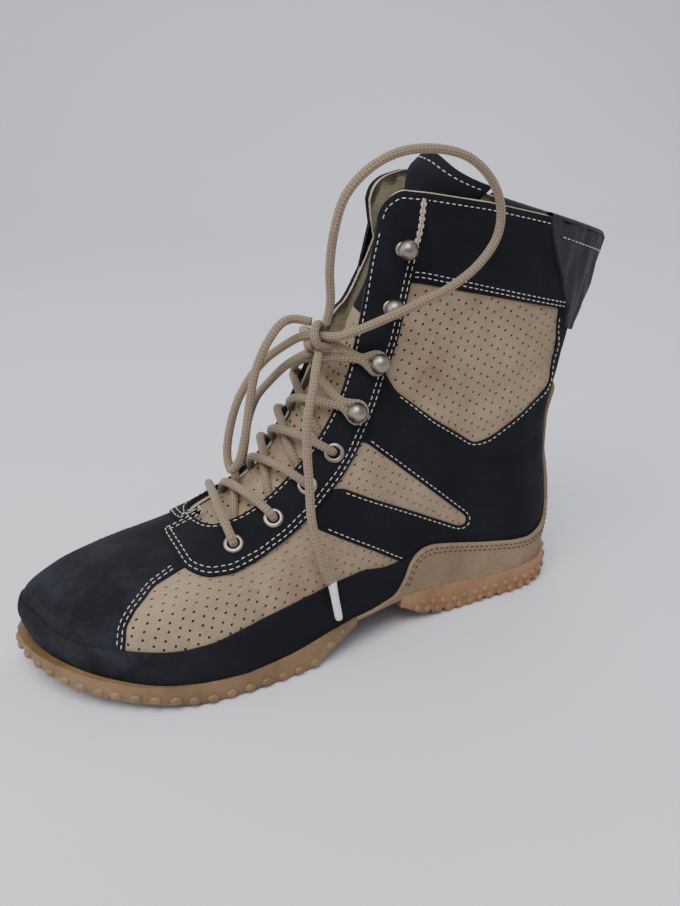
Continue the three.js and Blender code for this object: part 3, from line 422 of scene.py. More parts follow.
def nickelPlate():
    s = Shader("nickelPlate")
    tarnish = s.noise(180, 4, 0.6)
    color = s.mix(s.ramp(tarnish, (0.35, 0), (0.7, 1)), (0.2, 0.17, 0.14), (0.36, 0.32, 0.275))
    return s.finish(color, 0.24 + tarnish * 0.2, tarnish, 0.00004, Metallic=1.0)


def plainCoat(name, color, rough):
    s = Shader(name)
    cloud = s.noise(240, 3, 0.5)
    return s.finish(s.mix(cloud, tuple(c * 0.8 for c in color), color), rough + cloud * 0.1, cloud, 0.00006)


blackLeather = smoothLeather()
cloth = liningCloth()
foreRubber = gumRubber("gumForefoot", (0.135, 0.08, 0.034), (0.235, 0.145, 0.065))
heelRubber = gumRubber("gumHeel", (0.2, 0.1, 0.045), (0.33, 0.18, 0.082))
laceBraid = braid()
whiteThread = threadLike("whiteThread", (0.55, 0.53, 0.48))
beigeThread = threadLike("beigeThread", (0.5, 0.41, 0.3))
darkThread = threadLike("darkThread", (0.035, 0.025, 0.018))
nickel = nickelPlate()
aglet = plainCoat("agletFilm", (0.75, 0.72, 0.68), 0.18)
# near-black for the bottoms of the pinholes: painted shade, standing in for the dark inside a small hole
paintedHoleShade = plainCoat("paintedHoleShade", (0.012, 0.009, 0.007), 0.9)
print("materials ready")


def meshPiece(name, verts, faces, material, replaces=(), uvs=None, smooth=True):
    mesh = bpy.data.meshes.new(name)
    mesh.from_pydata((np.asarray(verts, float) / 1000).tolist(), [], [tuple(int(i) for i in f) for f in faces])
    mesh.materials.append(material)
    if uvs is not None:
        layer = mesh.uv_layers.new(name="UVMap")
        loops = np.array([loop.vertex_index for loop in mesh.loops])
        layer.data.foreach_set("uv", np.asarray(uvs, float)[loops].ravel())
    mesh.polygons.foreach_set("use_smooth", [smooth] * len(mesh.polygons))
    mesh.update()
    piece = bpy.data.objects.new(name, mesh)
    bpy.context.scene.collection.objects.link(piece)
    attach(piece, "root")
    if replaces:
        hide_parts(*replaces)
    return piece


class Parts:
    def __init__(self):
        self.verts, self.faces, self.count = [], [], 0

    def add(self, verts, faces):
        self.verts.append(np.asarray(verts, float))
        self.faces += [[i + self.count for i in f] for f in faces]
        self.count += len(verts)

    def piece(self, name, material, **more):
        return meshPiece(name, np.concatenate(self.verts), self.faces, material, **more)


def insideLoop(points, loop):
    x, y = points[:, 0], points[:, 1]
    inside = np.zeros(len(points), bool)
    for (x0, y0), (x1, y1) in zip(loop, np.roll(loop, -1, 0)):
        if y0 != y1:
            inside ^= ((y0 > y) != (y1 > y)) & (x < (x1 - x0) * (y - y0) / (y1 - y0) + x0)
    return inside


levelScale = 9


def cleanLoop(loop):
    loop = np.asarray(loop, float)
    keep = np.linalg.norm((loop - np.roll(loop, 1, 0)) * [1, levelScale], axis=1) > 0.12
    loop = loop[keep]
    area = np.sum(loop[:, 0] * np.roll(loop[:, 1], -1) - np.roll(loop[:, 0], -1) * loop[:, 1])
    loop = loop if area > 0 else loop[::-1]
    return dense(np.concatenate([loop, loop[:1]]) * [1, levelScale], 2.4)[:-1] / [1, levelScale]


def leatherPatch(parts, loop, top, base, holes=(), cell=(1.5, 1.5), edge=0.35, inside=False, pins=()):
    # loop and holes lie in (turn, level); pins are small round holes
    loop = cleanLoop(loop)
    rings = [loop] + [cleanLoop(h)[::-1] for h in holes] + [cleanLoop(h)[::-1] for h in pins]
    scaled = [ring * [1, levelScale] for ring in rings]
    low, high = scaled[0].min(0), scaled[0].max(0)
    rows = np.arange(low[1], high[1], cell[1] * 0.87)
    columns = [np.arange(low[0] + (k % 2) * cell[0] / 2, high[0], cell[0]) for k in range(len(rows))]
    grid = np.concatenate([np.stack([xs, np.full(len(xs), y)], -1) for xs, y in zip(columns, rows)])
    edgePoints = np.concatenate(scaled)
    tree = kdtree.KDTree(len(edgePoints))
    for i, (a, b) in enumerate(edgePoints):
        tree.insert((a, b, 0), i)
    tree.balance()
    grid = grid[insideLoop(grid, scaled[0])]
    for ring in scaled[1:1 + len(holes)]:
        grid = grid[~insideLoop(grid, ring)]
    near = np.array([tree.find((a, b, 0))[2] for a, b in grid]) if len(grid) else np.zeros(0)
    grid = grid[near > min(cell) * 0.55]
    points = np.concatenate([edgePoints, grid])
    edges, start = [], 0
    for ring in scaled:
        n = len(ring)
        edges += [(start + i, start + (i + 1) % n) for i in range(n)]
        start += n
    found, _, faces, origin, _, _ = delaunay_2d_cdt([Vector(p) for p in points], edges, [], 0, 1e-5)
    found = np.array([tuple(p) for p in found])
    faces = np.array([f for f in faces if len(f) == 3])
    middle = found[faces].mean(1)
    keep = insideLoop(middle, scaled[0])
    for ring in scaled[1:1 + len(holes)]:
        keep &= ~insideLoop(middle, ring)
    if pins:
        centres = kdtree.KDTree(len(pins))
        reach = []
        for i, ring in enumerate(scaled[1 + len(holes):]):
            centre = ring.mean(0)
            centres.insert((*centre, 0), i)
            reach.append(ring)
        centres.balance()
        closeTo = np.array([centres.find((a, b, 0))[1:] for a, b in middle])
        for i, ring in enumerate(reach):
            pick = np.where((closeTo[:, 0] == i) & (closeTo[:, 1] < 2.5))[0]
            if len(pick):
                keep[pick[insideLoop(middle[pick], ring)]] = False
    faces = faces[keep]
    spin = np.cross(found[faces[:, 1]] - found[faces[:, 0]], found[faces[:, 2]] - found[faces[:, 0]])
    faces[spin > 0] = faces[spin > 0][:, ::-1]        # (turn, level) is left-handed on the outside
    if inside:
        faces = faces[:, ::-1]
    turn, level = found[:, 0], found[:, 1] / levelScale
    height = top(turn, level) if callable(top) else np.full(len(turn), float(top))
    verts = surface(turn, level, height)
    where = {}
    for out, sources in enumerate(origin):
        for source in sources:
            where.setdefault(source, out)
    skirt = []
    skirtVerts = [verts]
    count = len(verts)
    start = 0
    for number, ring in enumerate(rings):
        n = len(ring)
        ids = np.array([where[start + i] for i in range(n)])
        start += n
        p = verts[ids]
        normal = lastNormal(ring[:, 0], ring[:, 1])
        small = number > len(holes)
        ringTop = height[ids]
        flow = unit(np.roll(p, -1, 0) - np.roll(p, 1, 0))
        inward = unit(np.cross(flow, normal))
        onSeam = ((ring[:, 0] < 0.01) | (ring[:, 0] > 359.99))
        shift = np.where(onSeam, 0, 0.1 if small else edge)
        if not small:
            verts[ids] = p + inward * shift[:, None]
        lip = p - normal * (0 if small else edge * 0.8) * (-1 if inside else 1)
        low = surface(ring[:, 0], ring[:, 1], ringTop - 0.45 if small else base)
        skirtVerts += [lip, low]
        for i in range(n):
            j = (i + 1) % n
            if onSeam[i] and onSeam[j]:
                continue
            quads = [(ids[i], ids[j], count + j, count + i), (count + i, count + j, count + n + j, count + n + i)]
            quads = quads[1:] if small else quads
            skirt += [q[::-1] for q in quads] if inside else quads
        count += 2 * n
    parts.add(np.concatenate(skirtVerts), [list(f) for f in faces] + skirt)


def stitchRow(parts, path, pitch=3.0, dash=1.9, thick=0.24, rise=0.2):
    # path is (points, normals) on a surface, in mm
    points, normals = path
    gaps = np.linalg.norm(np.diff(points, axis=0), axis=1)
    run = np.concatenate([[0], np.cumsum(gaps)])
    count = int(run[-1] // pitch)
    if count < 1:
        return
    shares = np.array([0, 0.12, 0.5, 0.88, 1])
    lifts = np.array([-0.3, 0.4, 1, 0.4, -0.3]) * rise
    widths = np.array([0.35, 0.9, 1, 0.9, 0.35]) * thick
    for k in range(count):
        at = (k + 0.5) * pitch + (shares - 0.5) * dash
        spine = np.stack([np.interp(at, run, points[:, a]) for a in range(3)], -1)
        up = unit(np.stack([np.interp(at, run, normals[:, a]) for a in range(3)], -1))
        along = unit(spine[-1] - spine[0])
        sideways = unit(np.cross(along, up))
        verts, faces = [], []
        for s in range(6):
            angle = s * math.pi / 3
            verts.append(spine + up * lifts[:, None] + widths[:, None] * (
                math.cos(angle) * sideways + math.sin(angle) * up))
        verts = np.stack(verts, 1).reshape(-1, 3)
        for r in range(4):
            for s in range(6):
                t = (s + 1) % 6
                faces.append([r * 6 + s, r * 6 + t, r * 6 + 6 + t, r * 6 + 6 + s])
        faces += [[5, 4, 3, 2, 1, 0], [24, 25, 26, 27, 28, 29]]
        parts.add(verts, faces)


def seamPath(domain, inset, offset):
    # the line that runs inset mm to the left of a line in (turn, level), with its normals
    domain = np.asarray(domain, float)
    turn, level = domain[:, 0].copy(), domain[:, 1].copy()
    p = surface(turn, level, offset)
    flow = unit(np.gradient(p, axis=0))
    normal = lastNormal(turn, level)
    left = np.cross(flow, normal) * inset
    around = (surface(turn + 0.5, level, offset) - surface(turn - 0.5, level, offset))
    upward = (surface(turn, level + 0.02, offset) - surface(turn, level - 0.02, offset)) / 0.04
    aa, bb, ab = (around ** 2).sum(-1), (upward ** 2).sum(-1), (around * upward).sum(-1)
    ra, rb = (around * left).sum(-1), (upward * left).sum(-1)
    det = np.maximum(aa * bb - ab * ab, 1e-6)
    turn += np.clip((ra * bb - rb * ab) / det, -6, 6)
    level += np.clip((rb * aa - ra * ab) / det, -0.6, 0.6)
    return surface(turn, level, offset), lastNormal(turn, level)


eyestayEdge = [(0.764, 0.26), (0.764, 0.218), (0.757, 0.207), (0.734, 0.196), (0.695, 0.197), (0.651, 0.214),
               (0.593, 0.249), (0.54, 0.297), (0.49, 0.361), (0.463, 0.407), (0.417, 0.515), (0.369, 0.659),
               (0.335, 0.82), (0.316, 0.9), (0.302, 1.03)]
cuffEdge = [(0.36, 0.793), (0.324, 0.791), (0.01, 0.669), (-0.12, 0.625)]
rimEdge = [(1.02, 0.118), (0.984, 0.117), (0.969, 0.095), (0.942, 0.08), (0.882, 0.077), (0.8, 0.069),
           (0.744, 0.072), (0.688, 0.088), (0.629, 0.104), (0.54, 0.125), (0.466, 0.133), (0.42, 0.119),
           (0.35, 0.12), (0.27, 0.108), (0.13, 0.07), (0.05, 0.075), (-0.03, 0.085)]
vampWindow = [(0.759, 0.213), (0.815, 0.188), (0.85, 0.157), (0.871, 0.125), (0.883, 0.062), (0.8, 0.04),
              (0.6, 0.06), (0.48, 0.09), (0.425, 0.1), (0.375, 0.108), (0.441, 0.17), (0.503, 0.223),
              (0.549, 0.262), (0.561, 0.293), (0.6, 0.262), (0.651, 0.232), (0.695, 0.215), (0.734, 0.214)]
ankleWindow = [(0.466, 0.424), (0.45, 0.436), (0.437, 0.43), (0.241, 0.186), (0.24, 0.168), (0.256, 0.163),
               (0.49, 0.337), (0.53, 0.335)]
rearWindow = [(0.352, 0.789), (0.324, 0.783), (0.031, 0.678), (0.027, 0.6), (0.025, 0.535), (0.033, 0.482),
              (0.122, 0.421),
              (0.19, 0.377), (0.222, 0.374), (0.307, 0.457), (0.378, 0.54), (0.4, 0.6), (0.382, 0.68)]
throatRows = [(0.71, 0.05), (0.703, 0.115), (0.688, 0.155), (0.645, 0.184), (0.58, 0.184), (0.47, 0.192),
              (0.424, 0.147), (0.4, 0.107), (0.376, 0.098), (0.362, 0.11), (0.352, 0.14)]
throatRowsInner = [(0.71, 0.05), (0.703, 0.115), (0.688, 0.155), (0.645, 0.184), (0.58, 0.19),
                   (0.47, 0.205), (0.424, 0.205), (0.376, 0.205), (0.352, 0.205), (0.335, 0.205)]
collarOuter = [(0.385, 0.93), (0.376, 0.965), (0.354, 0.993), (0.309, 0.985), (0.192, 0.954), (0.073, 0.912),
               (-0.087, 0.84), (-0.125, 0.825)]
collarInner = [(0.352, 0.95), (0.345, 0.985), (0.322, 1.005), (0.27, 1.018), (0.17, 0.985), (0.05, 0.917),
               (-0.06, 0.865), (-0.087, 0.84), (-0.125, 0.825)]
heelRandTop = [(0.49, 0.02), (0.45, 0.022), (0.4, 0.034), (0.388, 0.056), (0.378, 0.079), (0.37, 0.11),
               (0.345, 0.135), (0.321, 0.139), (0.277, 0.127), (0.207, 0.104), (0.138, 0.086), (0.092, 0.08),
               (0.045, 0.092), (0.02, 0.12), (0.012, 0.2), (0.012, 0.45), (-0.02, 0.46)]


def untilLevel(path, limit):
    return path[path[:, 1] < limit]


outerThroat = fromAbove(throatRows, 1)
innerThroat = fromAbove(throatRowsInner, -1)
outerCollar = fromSide(collarOuter, 1)
innerCollar = fromSide(collarInner, -1)
for path, seam in ((outerCollar, 0), (innerCollar, 360)):
    path[-1, 0] = seam
outerThroat = untilLevel(outerThroat, outerCollar[0, 1] - 0.1)
innerThroat = untilLevel(innerThroat, innerCollar[0, 1] - 0.1)
# from the back seam round the outer collar, down the throat, up its inner side and back to the seam
mouthLine = np.concatenate([outerCollar[::-1], outerThroat[::-1], innerThroat, innerCollar])


def levelLine(level, start=0, end=360, step=1.2):
    turn = np.linspace(start, end, max(2, int(abs(end - start) / step)))
    return np.stack([turn, np.full_like(turn, level)], -1)


def window(rows, side):
    rows = np.asarray(rows, float) * [last["length"], last["high"]]
    rows = rounded(dense(np.concatenate([rows, rows[:1]]), 6)[:-1], 3, closed=True)
    rows = dense(np.concatenate([rows, rows[:1]]), 2) / [last["length"], last["high"]]
    return domainOf(rows[:-1, 0], rows[:-1, 1], side)


windows = {(name, side): window(rows, side) for name, rows in
           (("vamp", vampWindow), ("ankle", ankleWindow), ("rear", rearWindow)) for side in (1, -1)}
eyestayInnerEdge = [(0.738, 0.275), (0.735, 0.25), (0.722, 0.23), (0.695, 0.214), (0.655, 0.218)] + eyestayEdge[6:]
eyestayOuter, eyestayInner = fromSide(eyestayEdge, 1), fromSide(eyestayInnerEdge, -1)
eyestayInner[:, 0] += fade(eyestayInner[:, 1], 5.2, 7.5) * 9      # wider on the inner side
cuffOuter, cuffInner = fromSide(cuffEdge, 1), fromSide(cuffEdge, -1)
rimOuter, rimInner = fromSide(rimEdge, 1), fromSide(rimEdge, -1)
randOuter, randInner = fromSide(heelRandTop, 1), fromSide(heelRandTop, -1)

bottomLevel = -0.12
shell = Parts()
shellLoop = np.concatenate([levelLine(bottomLevel), mouthLine[::-1]])
leatherPatch(shell, shellLoop, wall["leather"], wall["panel"] - 0.6, holes=list(windows.values()), cell=(1.7, 1.7))
shell.piece("upperLeather", navyLeather, replaces=["upper"])
print("upper leather done")


def pinHoles(loop, side, stepA, stepB, radius=0.62, margin=0.9):
    # a centred lattice laid on the surface: x along the foot, s round the girth
    xz = lastPoint(loop[:, 0], loop[:, 1])
    xs = np.linspace(xz[:, 0].min(), xz[:, 0].max(), 90)
    shares = (xs - last["back"]) / last["length"]
    rise = (xz[:, 2] - last["heel"]) / last["high"]
    highs = np.linspace(rise.min(), rise.max(), 70)
    mesh = np.stack(np.meshgrid(shares, highs, indexing="ij"), -1)
    place = domainOf(mesh[..., 0].ravel(), mesh[..., 1].ravel(), side)
    p = lastPoint(place[:, 0], place[:, 1]).reshape(len(xs), len(highs), 3)
    girth = np.concatenate([np.zeros((len(xs), 1)), np.cumsum(np.hypot(np.diff(p[..., 1], axis=1),
                                                                      np.diff(p[..., 2], axis=1)), 1)], 1)
    a, b = np.array(stepA) / 2, np.array(stepB) / 2
    holes = []
    for i in range(-80, 80):
        for j in range(-80, 80):
            x, s = a * i + b * j + [xs.mean() + 0.35 * (j % 2), girth.max() / 2 - 0.45 * (i % 2)]
            if not (xs[0] < x < xs[-1] and 0 < s < girth.max()):
                continue
            column = int(np.clip(np.searchsorted(xs, x), 1, len(xs) - 1))
            line = girth[column] if x > xs[column] - 1 else girth[column - 1]
            high1 = np.interp(s, line, highs)
            holes.append(((x - last["back"]) / last["length"], high1))
    holes = domainOf(*np.array(holes).T, side)
    holes = holes[insideLoop(holes * [1, levelScale], loop * [1, levelScale])]
    turn, level = holes[:, 0], holes[:, 1]
    around = np.linalg.norm(lastPoint(turn + 0.5, level) - lastPoint(turn - 0.5, level), axis=-1)
    upward = np.linalg.norm(lastPoint(turn, level + 0.02) - lastPoint(turn, level - 0.02), axis=-1) / 0.04
    edgeLine = lastPoint(loop[:, 0], loop[:, 1])
    centres = lastPoint(turn, level)
    rings, kept = [], []
    angles = np.arange(8) * math.pi / 4
    for t, l, ua, ul, c in zip(turn, level, around, upward, centres):
        if np.linalg.norm(edgeLine - c, axis=1).min() < margin:
            continue
        if kept and np.linalg.norm(np.array(kept) - c, axis=1).min() < 2.2:
            continue
        kept.append(c)
        rings.append(np.stack([t + radius * np.cos(angles) / ua, l + radius * np.sin(angles) / ul], -1))
    return rings


panelSteps = {"vamp": ((7.2, 4.5), (-3.2, 7.3)), "ankle": ((7.1, 4.6), (-3.5, 7.6)),
              "rear": ((7.1, 4.8), (-3.7, 8.1))}
underlap = 2.2


def grownLoop(loop, side):
    # the panel runs on under the leather round its window
    path = cleanLoop(loop)
    closed = np.concatenate([path, path[:1]])
    p = surface(closed[:, 0], closed[:, 1])
    flow = unit(np.roll(p[:-1], -1, 0) - np.roll(p[:-1], 1, 0))
    normal = lastNormal(path[:, 0], path[:, 1])
    out = -np.cross(flow, normal) * underlap
    turn, level = path[:, 0], path[:, 1]
    around = surface(turn + 0.5, level) - surface(turn - 0.5, level)
    upward = (surface(turn, level + 0.02) - surface(turn, level - 0.02)) / 0.04
    aa, bb, ab = (around ** 2).sum(-1), (upward ** 2).sum(-1), (around * upward).sum(-1)
    ra, rb = (around * out).sum(-1), (upward * out).sum(-1)
    det = np.maximum(aa * bb - ab * ab, 1e-6)
    moved = path + np.stack([np.clip((ra * bb - rb * ab) / det, -5, 5),
                             np.clip((rb * aa - ra * ab) / det, -0.5, 0.5)], -1)
    if side > 0:
        moved[:, 0] = np.clip(moved[:, 0], 0.5, 178.5)
    else:
        moved[:, 0] = np.clip(moved[:, 0], 181.5, 359.5)
    return moved


panels, holeShadeDiscs = Parts(), Parts()
for (name, side), loop in windows.items():
    stepA, stepB = panelSteps[name]
    grown = grownLoop(loop, side)
    rings = pinHoles(loop, side, stepA, stepB)
    leatherPatch(panels, grown, wall["panel"] + 0.15, wall["panel"] - 0.5, pins=rings, cell=(2.6, 2.2), edge=0.1)
    for ring in rings:
        # a near-black disc at the bottom of each pinhole, with the cloth lining behind it: painted shade
        centre = surface(ring[:, 0], ring[:, 1], wall["panel"] - 0.2)
        holeShadeDiscs.add(centre, [list(range(len(ring)))[::-1]])
panels.piece("perforatedPanels", beigeLeather)
holeShadeDiscs.piece("pinHolePaintedShade", paintedHoleShade)
print("perforated panels done")

lining = Parts()
leatherPatch(lining, np.concatenate([levelLine(-0.1), mouthLine[::-1]]), wall["inside"], wall["panel"] - 0.3,
             cell=(3, 3), edge=-0.5, inside=True)
lining.piece("upperLining", cloth)

cuff = Parts()
for lower, collar, seam in ((cuffOuter, outerCollar, 0), (cuffInner, innerCollar, 360)):
    lower = lower.copy()
    lower[-1, 0] = seam
    collar = collar[lastPoint(collar[:, 0], collar[:, 1])[:, 0] < 54]
    leatherPatch(cuff, np.concatenate([lower, collar[::-1]]), wall["overlay"] - 0.25, wall["panel"] - 0.6)
cuff.piece("collarCuff", navyLeather)

eyestay = Parts()
front = np.stack([np.linspace(eyestayOuter[0, 0], eyestayInner[0, 0], 14)[1:-1],
                  np.full(12, 0.0)], -1)
front[:, 1] = np.interp(front[:, 0], [eyestayOuter[0, 0], 180, eyestayInner[0, 0]],
                        [eyestayOuter[0, 1], 4.68, eyestayInner[0, 1]])
front = rounded(front, 2)
eyestayTopOuter = outerCollar[(outerCollar[:, 0] > eyestayOuter[-1, 0])]
eyestayTopInner = innerCollar[(innerCollar[:, 0] < eyestayInner[-1, 0])]
eyestayLine = np.concatenate([untilLevel(eyestayOuter, eyestayTopOuter[-1, 1] - 0.12)[::-1], front,
                              untilLevel(eyestayInner, eyestayTopInner[-1, 1] - 0.12)])
eyestayLoop = np.concatenate([untilLevel(eyestayOuter, eyestayTopOuter[-1, 1])[::-1], front,
                              untilLevel(eyestayInner, eyestayTopInner[-1, 1]),
                              eyestayTopInner[::-1], innerThroat[::-1], outerThroat, eyestayTopOuter])
fittingRows = [
    ("eyelet", 142, 4.56, 222, 4.8), ("eyelet", 142, 5.28, 222, 5.42), ("eyelet", 142.5, 5.99, 223, 6.05),
    ("eyelet", 141, 6.57, 225, 6.58), ("hook", 141, 7.23, 230, 7.15), ("hook", 139.5, 7.94, 234, 7.8),
    ("hook", 138, 8.68, 236, 8.5), ("hook", 140, 9.36, 237, 9.2),
]
leatherPatch(eyestay, eyestayLoop, wall["overlay"] + 0.2, wall["panel"] - 0.6)
eyestay.piece("eyestay", navyLeather)

rim = Parts()
leatherPatch(rim, np.concatenate([levelLine(bottomLevel - 0.05), rimInner[::-1][:-1] * [1, 1], rimOuter]),
             wall["overlay"] - 0.1, wall["panel"])
rim.piece("mudguard", navyLeather)

rand = Parts()
for path, seam in ((randOuter, 0), (randInner, 360)):
    path = path[path[:, 1] > -0.05]
    path[-1, 0] = seam
    start = path[0, 0]
    bottom = levelLine(bottomLevel - 0.06, seam, start)
    leatherPatch(rand, np.concatenate([bottom, path]), wall["suede"], wall["overlay"] - 0.5, cell=(1.5, 1.2))
rand.piece("heelRand", suedeLeather, replaces=["heel_rand"])
print("overlays done")

throatLine = np.concatenate([outerThroat[::-1], innerThroat])


def seam(rows, side, inset, offset):
    return seamPath(fromSide(rows, side), inset * side, offset)


# the tongue leans back at its top, as it does when the laces are loose
tongueRows = [(4.5, 146, 212, 0, 0), (5.2, 138, 222, 0, 0), (6, 132, 228, 0, 0), (8, 126, 238, 0, 0),
              (9, 120, 236, 0, 3), (10, 112, 226, 4, 13), (11, 107, 215, 8, 24)]
tongueOuter, tongueInner, leanOuter, leanInner = (smoothCurve(tongueRows, k) for k in (1, 2, 3, 4))


def tonguePoint(u, rise, offset):
    top = 10.6 + 0.35 * np.sin(u * math.pi / 2)
    level = 4.55 + (top - 4.55) * rise
    turn = tongueOuter(level) + (tongueInner(level) - tongueOuter(level)) * u
    sunk = 8 * fade(level, 6.9, 8.3) * (1 - fade(level, 9.5, 10.5)) * (0.35 + 0.65 * fade(u, 0.1, 0.5))
    point = lastPoint(turn, level) + lastNormal(turn, level) * (np.asarray(offset, float) - sunk)[..., None]
    point[..., 0] -= leanOuter(level) + (leanInner(level) - leanOuter(level)) * fade(u, 0, 0.55)
    return point


def tongueSheet(name, low, high, front, back, material, **more):
    across, rows = 60, max(8, int(130 * (high - low)))
    u, rise = np.meshgrid(np.linspace(0, 1, across + 1), low + (high - low) * np.linspace(0, 1, rows + 1))
    pucker = 0.35 * np.sin(rise * 60 + u * 3) * np.sin(u * math.pi) ** 2 + 0.3 * np.sin(u * 9 + rise * 14)
    rim = np.clip(np.minimum(np.minimum(u, 1 - u) * 45, np.minimum(rise - low, high - rise) * 200), 0, 1)
    faceFront = tonguePoint(u, rise, front + pucker * 0.5 - 0.5 * (1 - rim) ** 2)
    faceBack = tonguePoint(u, rise, back + pucker * 0.3)
    count = (across + 1) * (rows + 1)
    verts = np.concatenate([faceFront.reshape(-1, 3), faceBack.reshape(-1, 3)])
    faces = []
    for r in range(rows):
        for c in range(across):
            a = r * (across + 1) + c
            faces.append([a, a + across + 1, a + across + 2, a + 1])
            faces.append([count + a, count + a + 1, count + a + across + 2, count + a + across + 1])
    border = ([r * (across + 1) for r in range(rows)] + [rows * (across + 1) + c for c in range(across)]
              + [r * (across + 1) + across for r in range(rows, 0, -1)] + list(range(across, 0, -1)))
    for a, b in zip(border, border[1:] + border[:1]):
        faces.append([a, count + a, count + b, b])
    return meshPiece(name, verts, faces, material, **more)


tongueSheet("tongueVamp", 0, 0.66, -4.0, -4.9, beigeLeather, replaces=["tongue"])
tongueSheet("tongueTop", 0.64, 1, -3.75, -4.6, navyLeather)
tongueSheet("tongueLining", 0, 0.995, -4.9, -6.0, cloth)

# near-black discs with short walls set on the tongue's beige vamp where its pinholes are: painted shade of the holes,
# none is cut
tonguePinShade = Parts()
for i in range(1, 12):
    for j in range(2, 31):
        u, rise = (i + 0.5 * (j % 2)) / 12.5, 0.64 * j / 31
        centre = tonguePoint(np.array([u, u + 0.01, u]), np.array([rise, rise, rise + 0.01]), np.full(3, -3.9))
        side1, side2 = unit(centre[1] - centre[0]), unit(centre[2] - centre[0])
        out = unit(np.cross(side2, side1))
        angle = np.arange(8) * math.pi / 4
        ring = centre[0] + out * 0.12 + 0.55 * (np.cos(angle)[:, None] * side1 + np.sin(angle)[:, None] * side2)
        tonguePinShade.add(np.concatenate([ring, ring - out * 0.4]),
                       [list(range(7, -1, -1))] + [[k, (k + 1) % 8, 8 + (k + 1) % 8, 8 + k] for k in range(8)])
tonguePinShade.piece("tonguePinHoleShade", paintedHoleShade)
print("tongue done")


def lathe(profile, sides=40):
    angle = np.arange(sides) * 2 * math.pi / sides
    verts = np.concatenate([np.stack([r * np.cos(angle), r * np.sin(angle), np.full(sides, h)], -1)
                            for r, h in profile])
    faces = []
    for i in range(len(profile) - 1):
        for k in range(sides):
            t = (k + 1) % sides
            faces.append([i * sides + k, i * sides + t, (i + 1) * sides + t, (i + 1) * sides + k])
    return verts, faces


def localFrame(turn, level, offset):
    origin = surface(np.array([turn]), np.array([level]), np.array([offset]))[0]
    out = lastNormal(np.array([turn]), np.array([level]))[0]
    before, after = surface(np.array([turn - 0.5, turn + 0.5]), np.array([level, level]))
    around = after - before
    around = unit(around - out * around.dot(out))
    toThroat = around if turn < 180 else -around
    return origin, toThroat, unit(np.cross(out, around)) * -1, out


def placedOn(parts, shape, turn, level, offset):
    verts, faces = shape
    origin, toThroat, up, out = localFrame(turn, level, offset)
    spun = verts[:, :1] * toThroat + verts[:, 1:2] * up + verts[:, 2:] * out
    flip = np.dot(np.cross(toThroat, up), out) < 0
    parts.add(origin + spun, [f[::-1] for f in faces] if flip else faces)


eyeletShape = {"bore": 2.3, "rim": 4.45, "proud": 0.75, "barrel": 2.75, "deep": -3.9}
hookShape = {"ball": 4.35, "centre": 7.7, "stem": 1.6, "base": 3.4, "notch": 2.2}


def eyeletProfile():
    b, r, h = eyeletShape["bore"], eyeletShape["rim"], eyeletShape["proud"]
    return [(b, eyeletShape["deep"]), (b, -0.1), (b + 0.12, h * 0.55), (b + 0.5, h * 0.95), (b + 1, h),
            (r - 0.55, h * 0.85), (r - 0.12, h * 0.4), (r, -0.05), (r - 0.2, -0.25), (eyeletShape["barrel"], -0.3),
            (eyeletShape["barrel"], eyeletShape["deep"]), (b, eyeletShape["deep"])]


def hookProfile():
    s, c, r = hookShape["stem"], hookShape["centre"], hookShape["ball"]
    ball = [(max(r * math.cos(a), 0.02), c + r * math.sin(a)) for a in np.radians(np.linspace(-66, 90, 20))]
    base = hookShape["base"]
    return [(0.02, -0.4), (base, -0.35), (base + 0.05, 0.2), (base - 0.3, 0.6), (s + 0.5, 0.8), (s, 1.3),
            (s, c - r + 0.3)] + ball


eyelets, hooks = Parts(), Parts()
hookVerts, hookFaces = lathe(hookProfile(), 36)
aside = hookVerts[:, 0] > 0.6
low = (hookVerts[:, 2] > hookShape["centre"] - 4.3) & (hookVerts[:, 2] < hookShape["centre"] - 0.3)
# the ball is cut away under its throat side, where the lace slips in
hookVerts[aside & low, 0] = 0.6 + (hookVerts[aside & low, 0] - 0.6) * 0.3
fittingTop = wall["overlay"] + 0.2
for kind, outerTurn, outerLevel, innerTurn, innerLevel in fittingRows:
    for turn, level in ((outerTurn, outerLevel), (innerTurn, innerLevel)):
        if kind == "eyelet":
            placedOn(eyelets, lathe(eyeletProfile()), turn, level, fittingTop)
        else:
            placedOn(hooks, (hookVerts, hookFaces), turn, level, fittingTop)
sides = ("outer", "inner")
eyelets.piece("eyelets", nickel, replaces=[f"eyelet_{k}_{side}" for k in (1, 2, 3, 4) for side in sides])
hooks.piece("ballHooks", nickel, replaces=[f"hook_{k}_{side}" for k in (1, 2, 3, 4) for side in sides])
print("eyelets and hooks done")


lace = {"diameter": 3.8, "sides": 18, "step": 1.3}


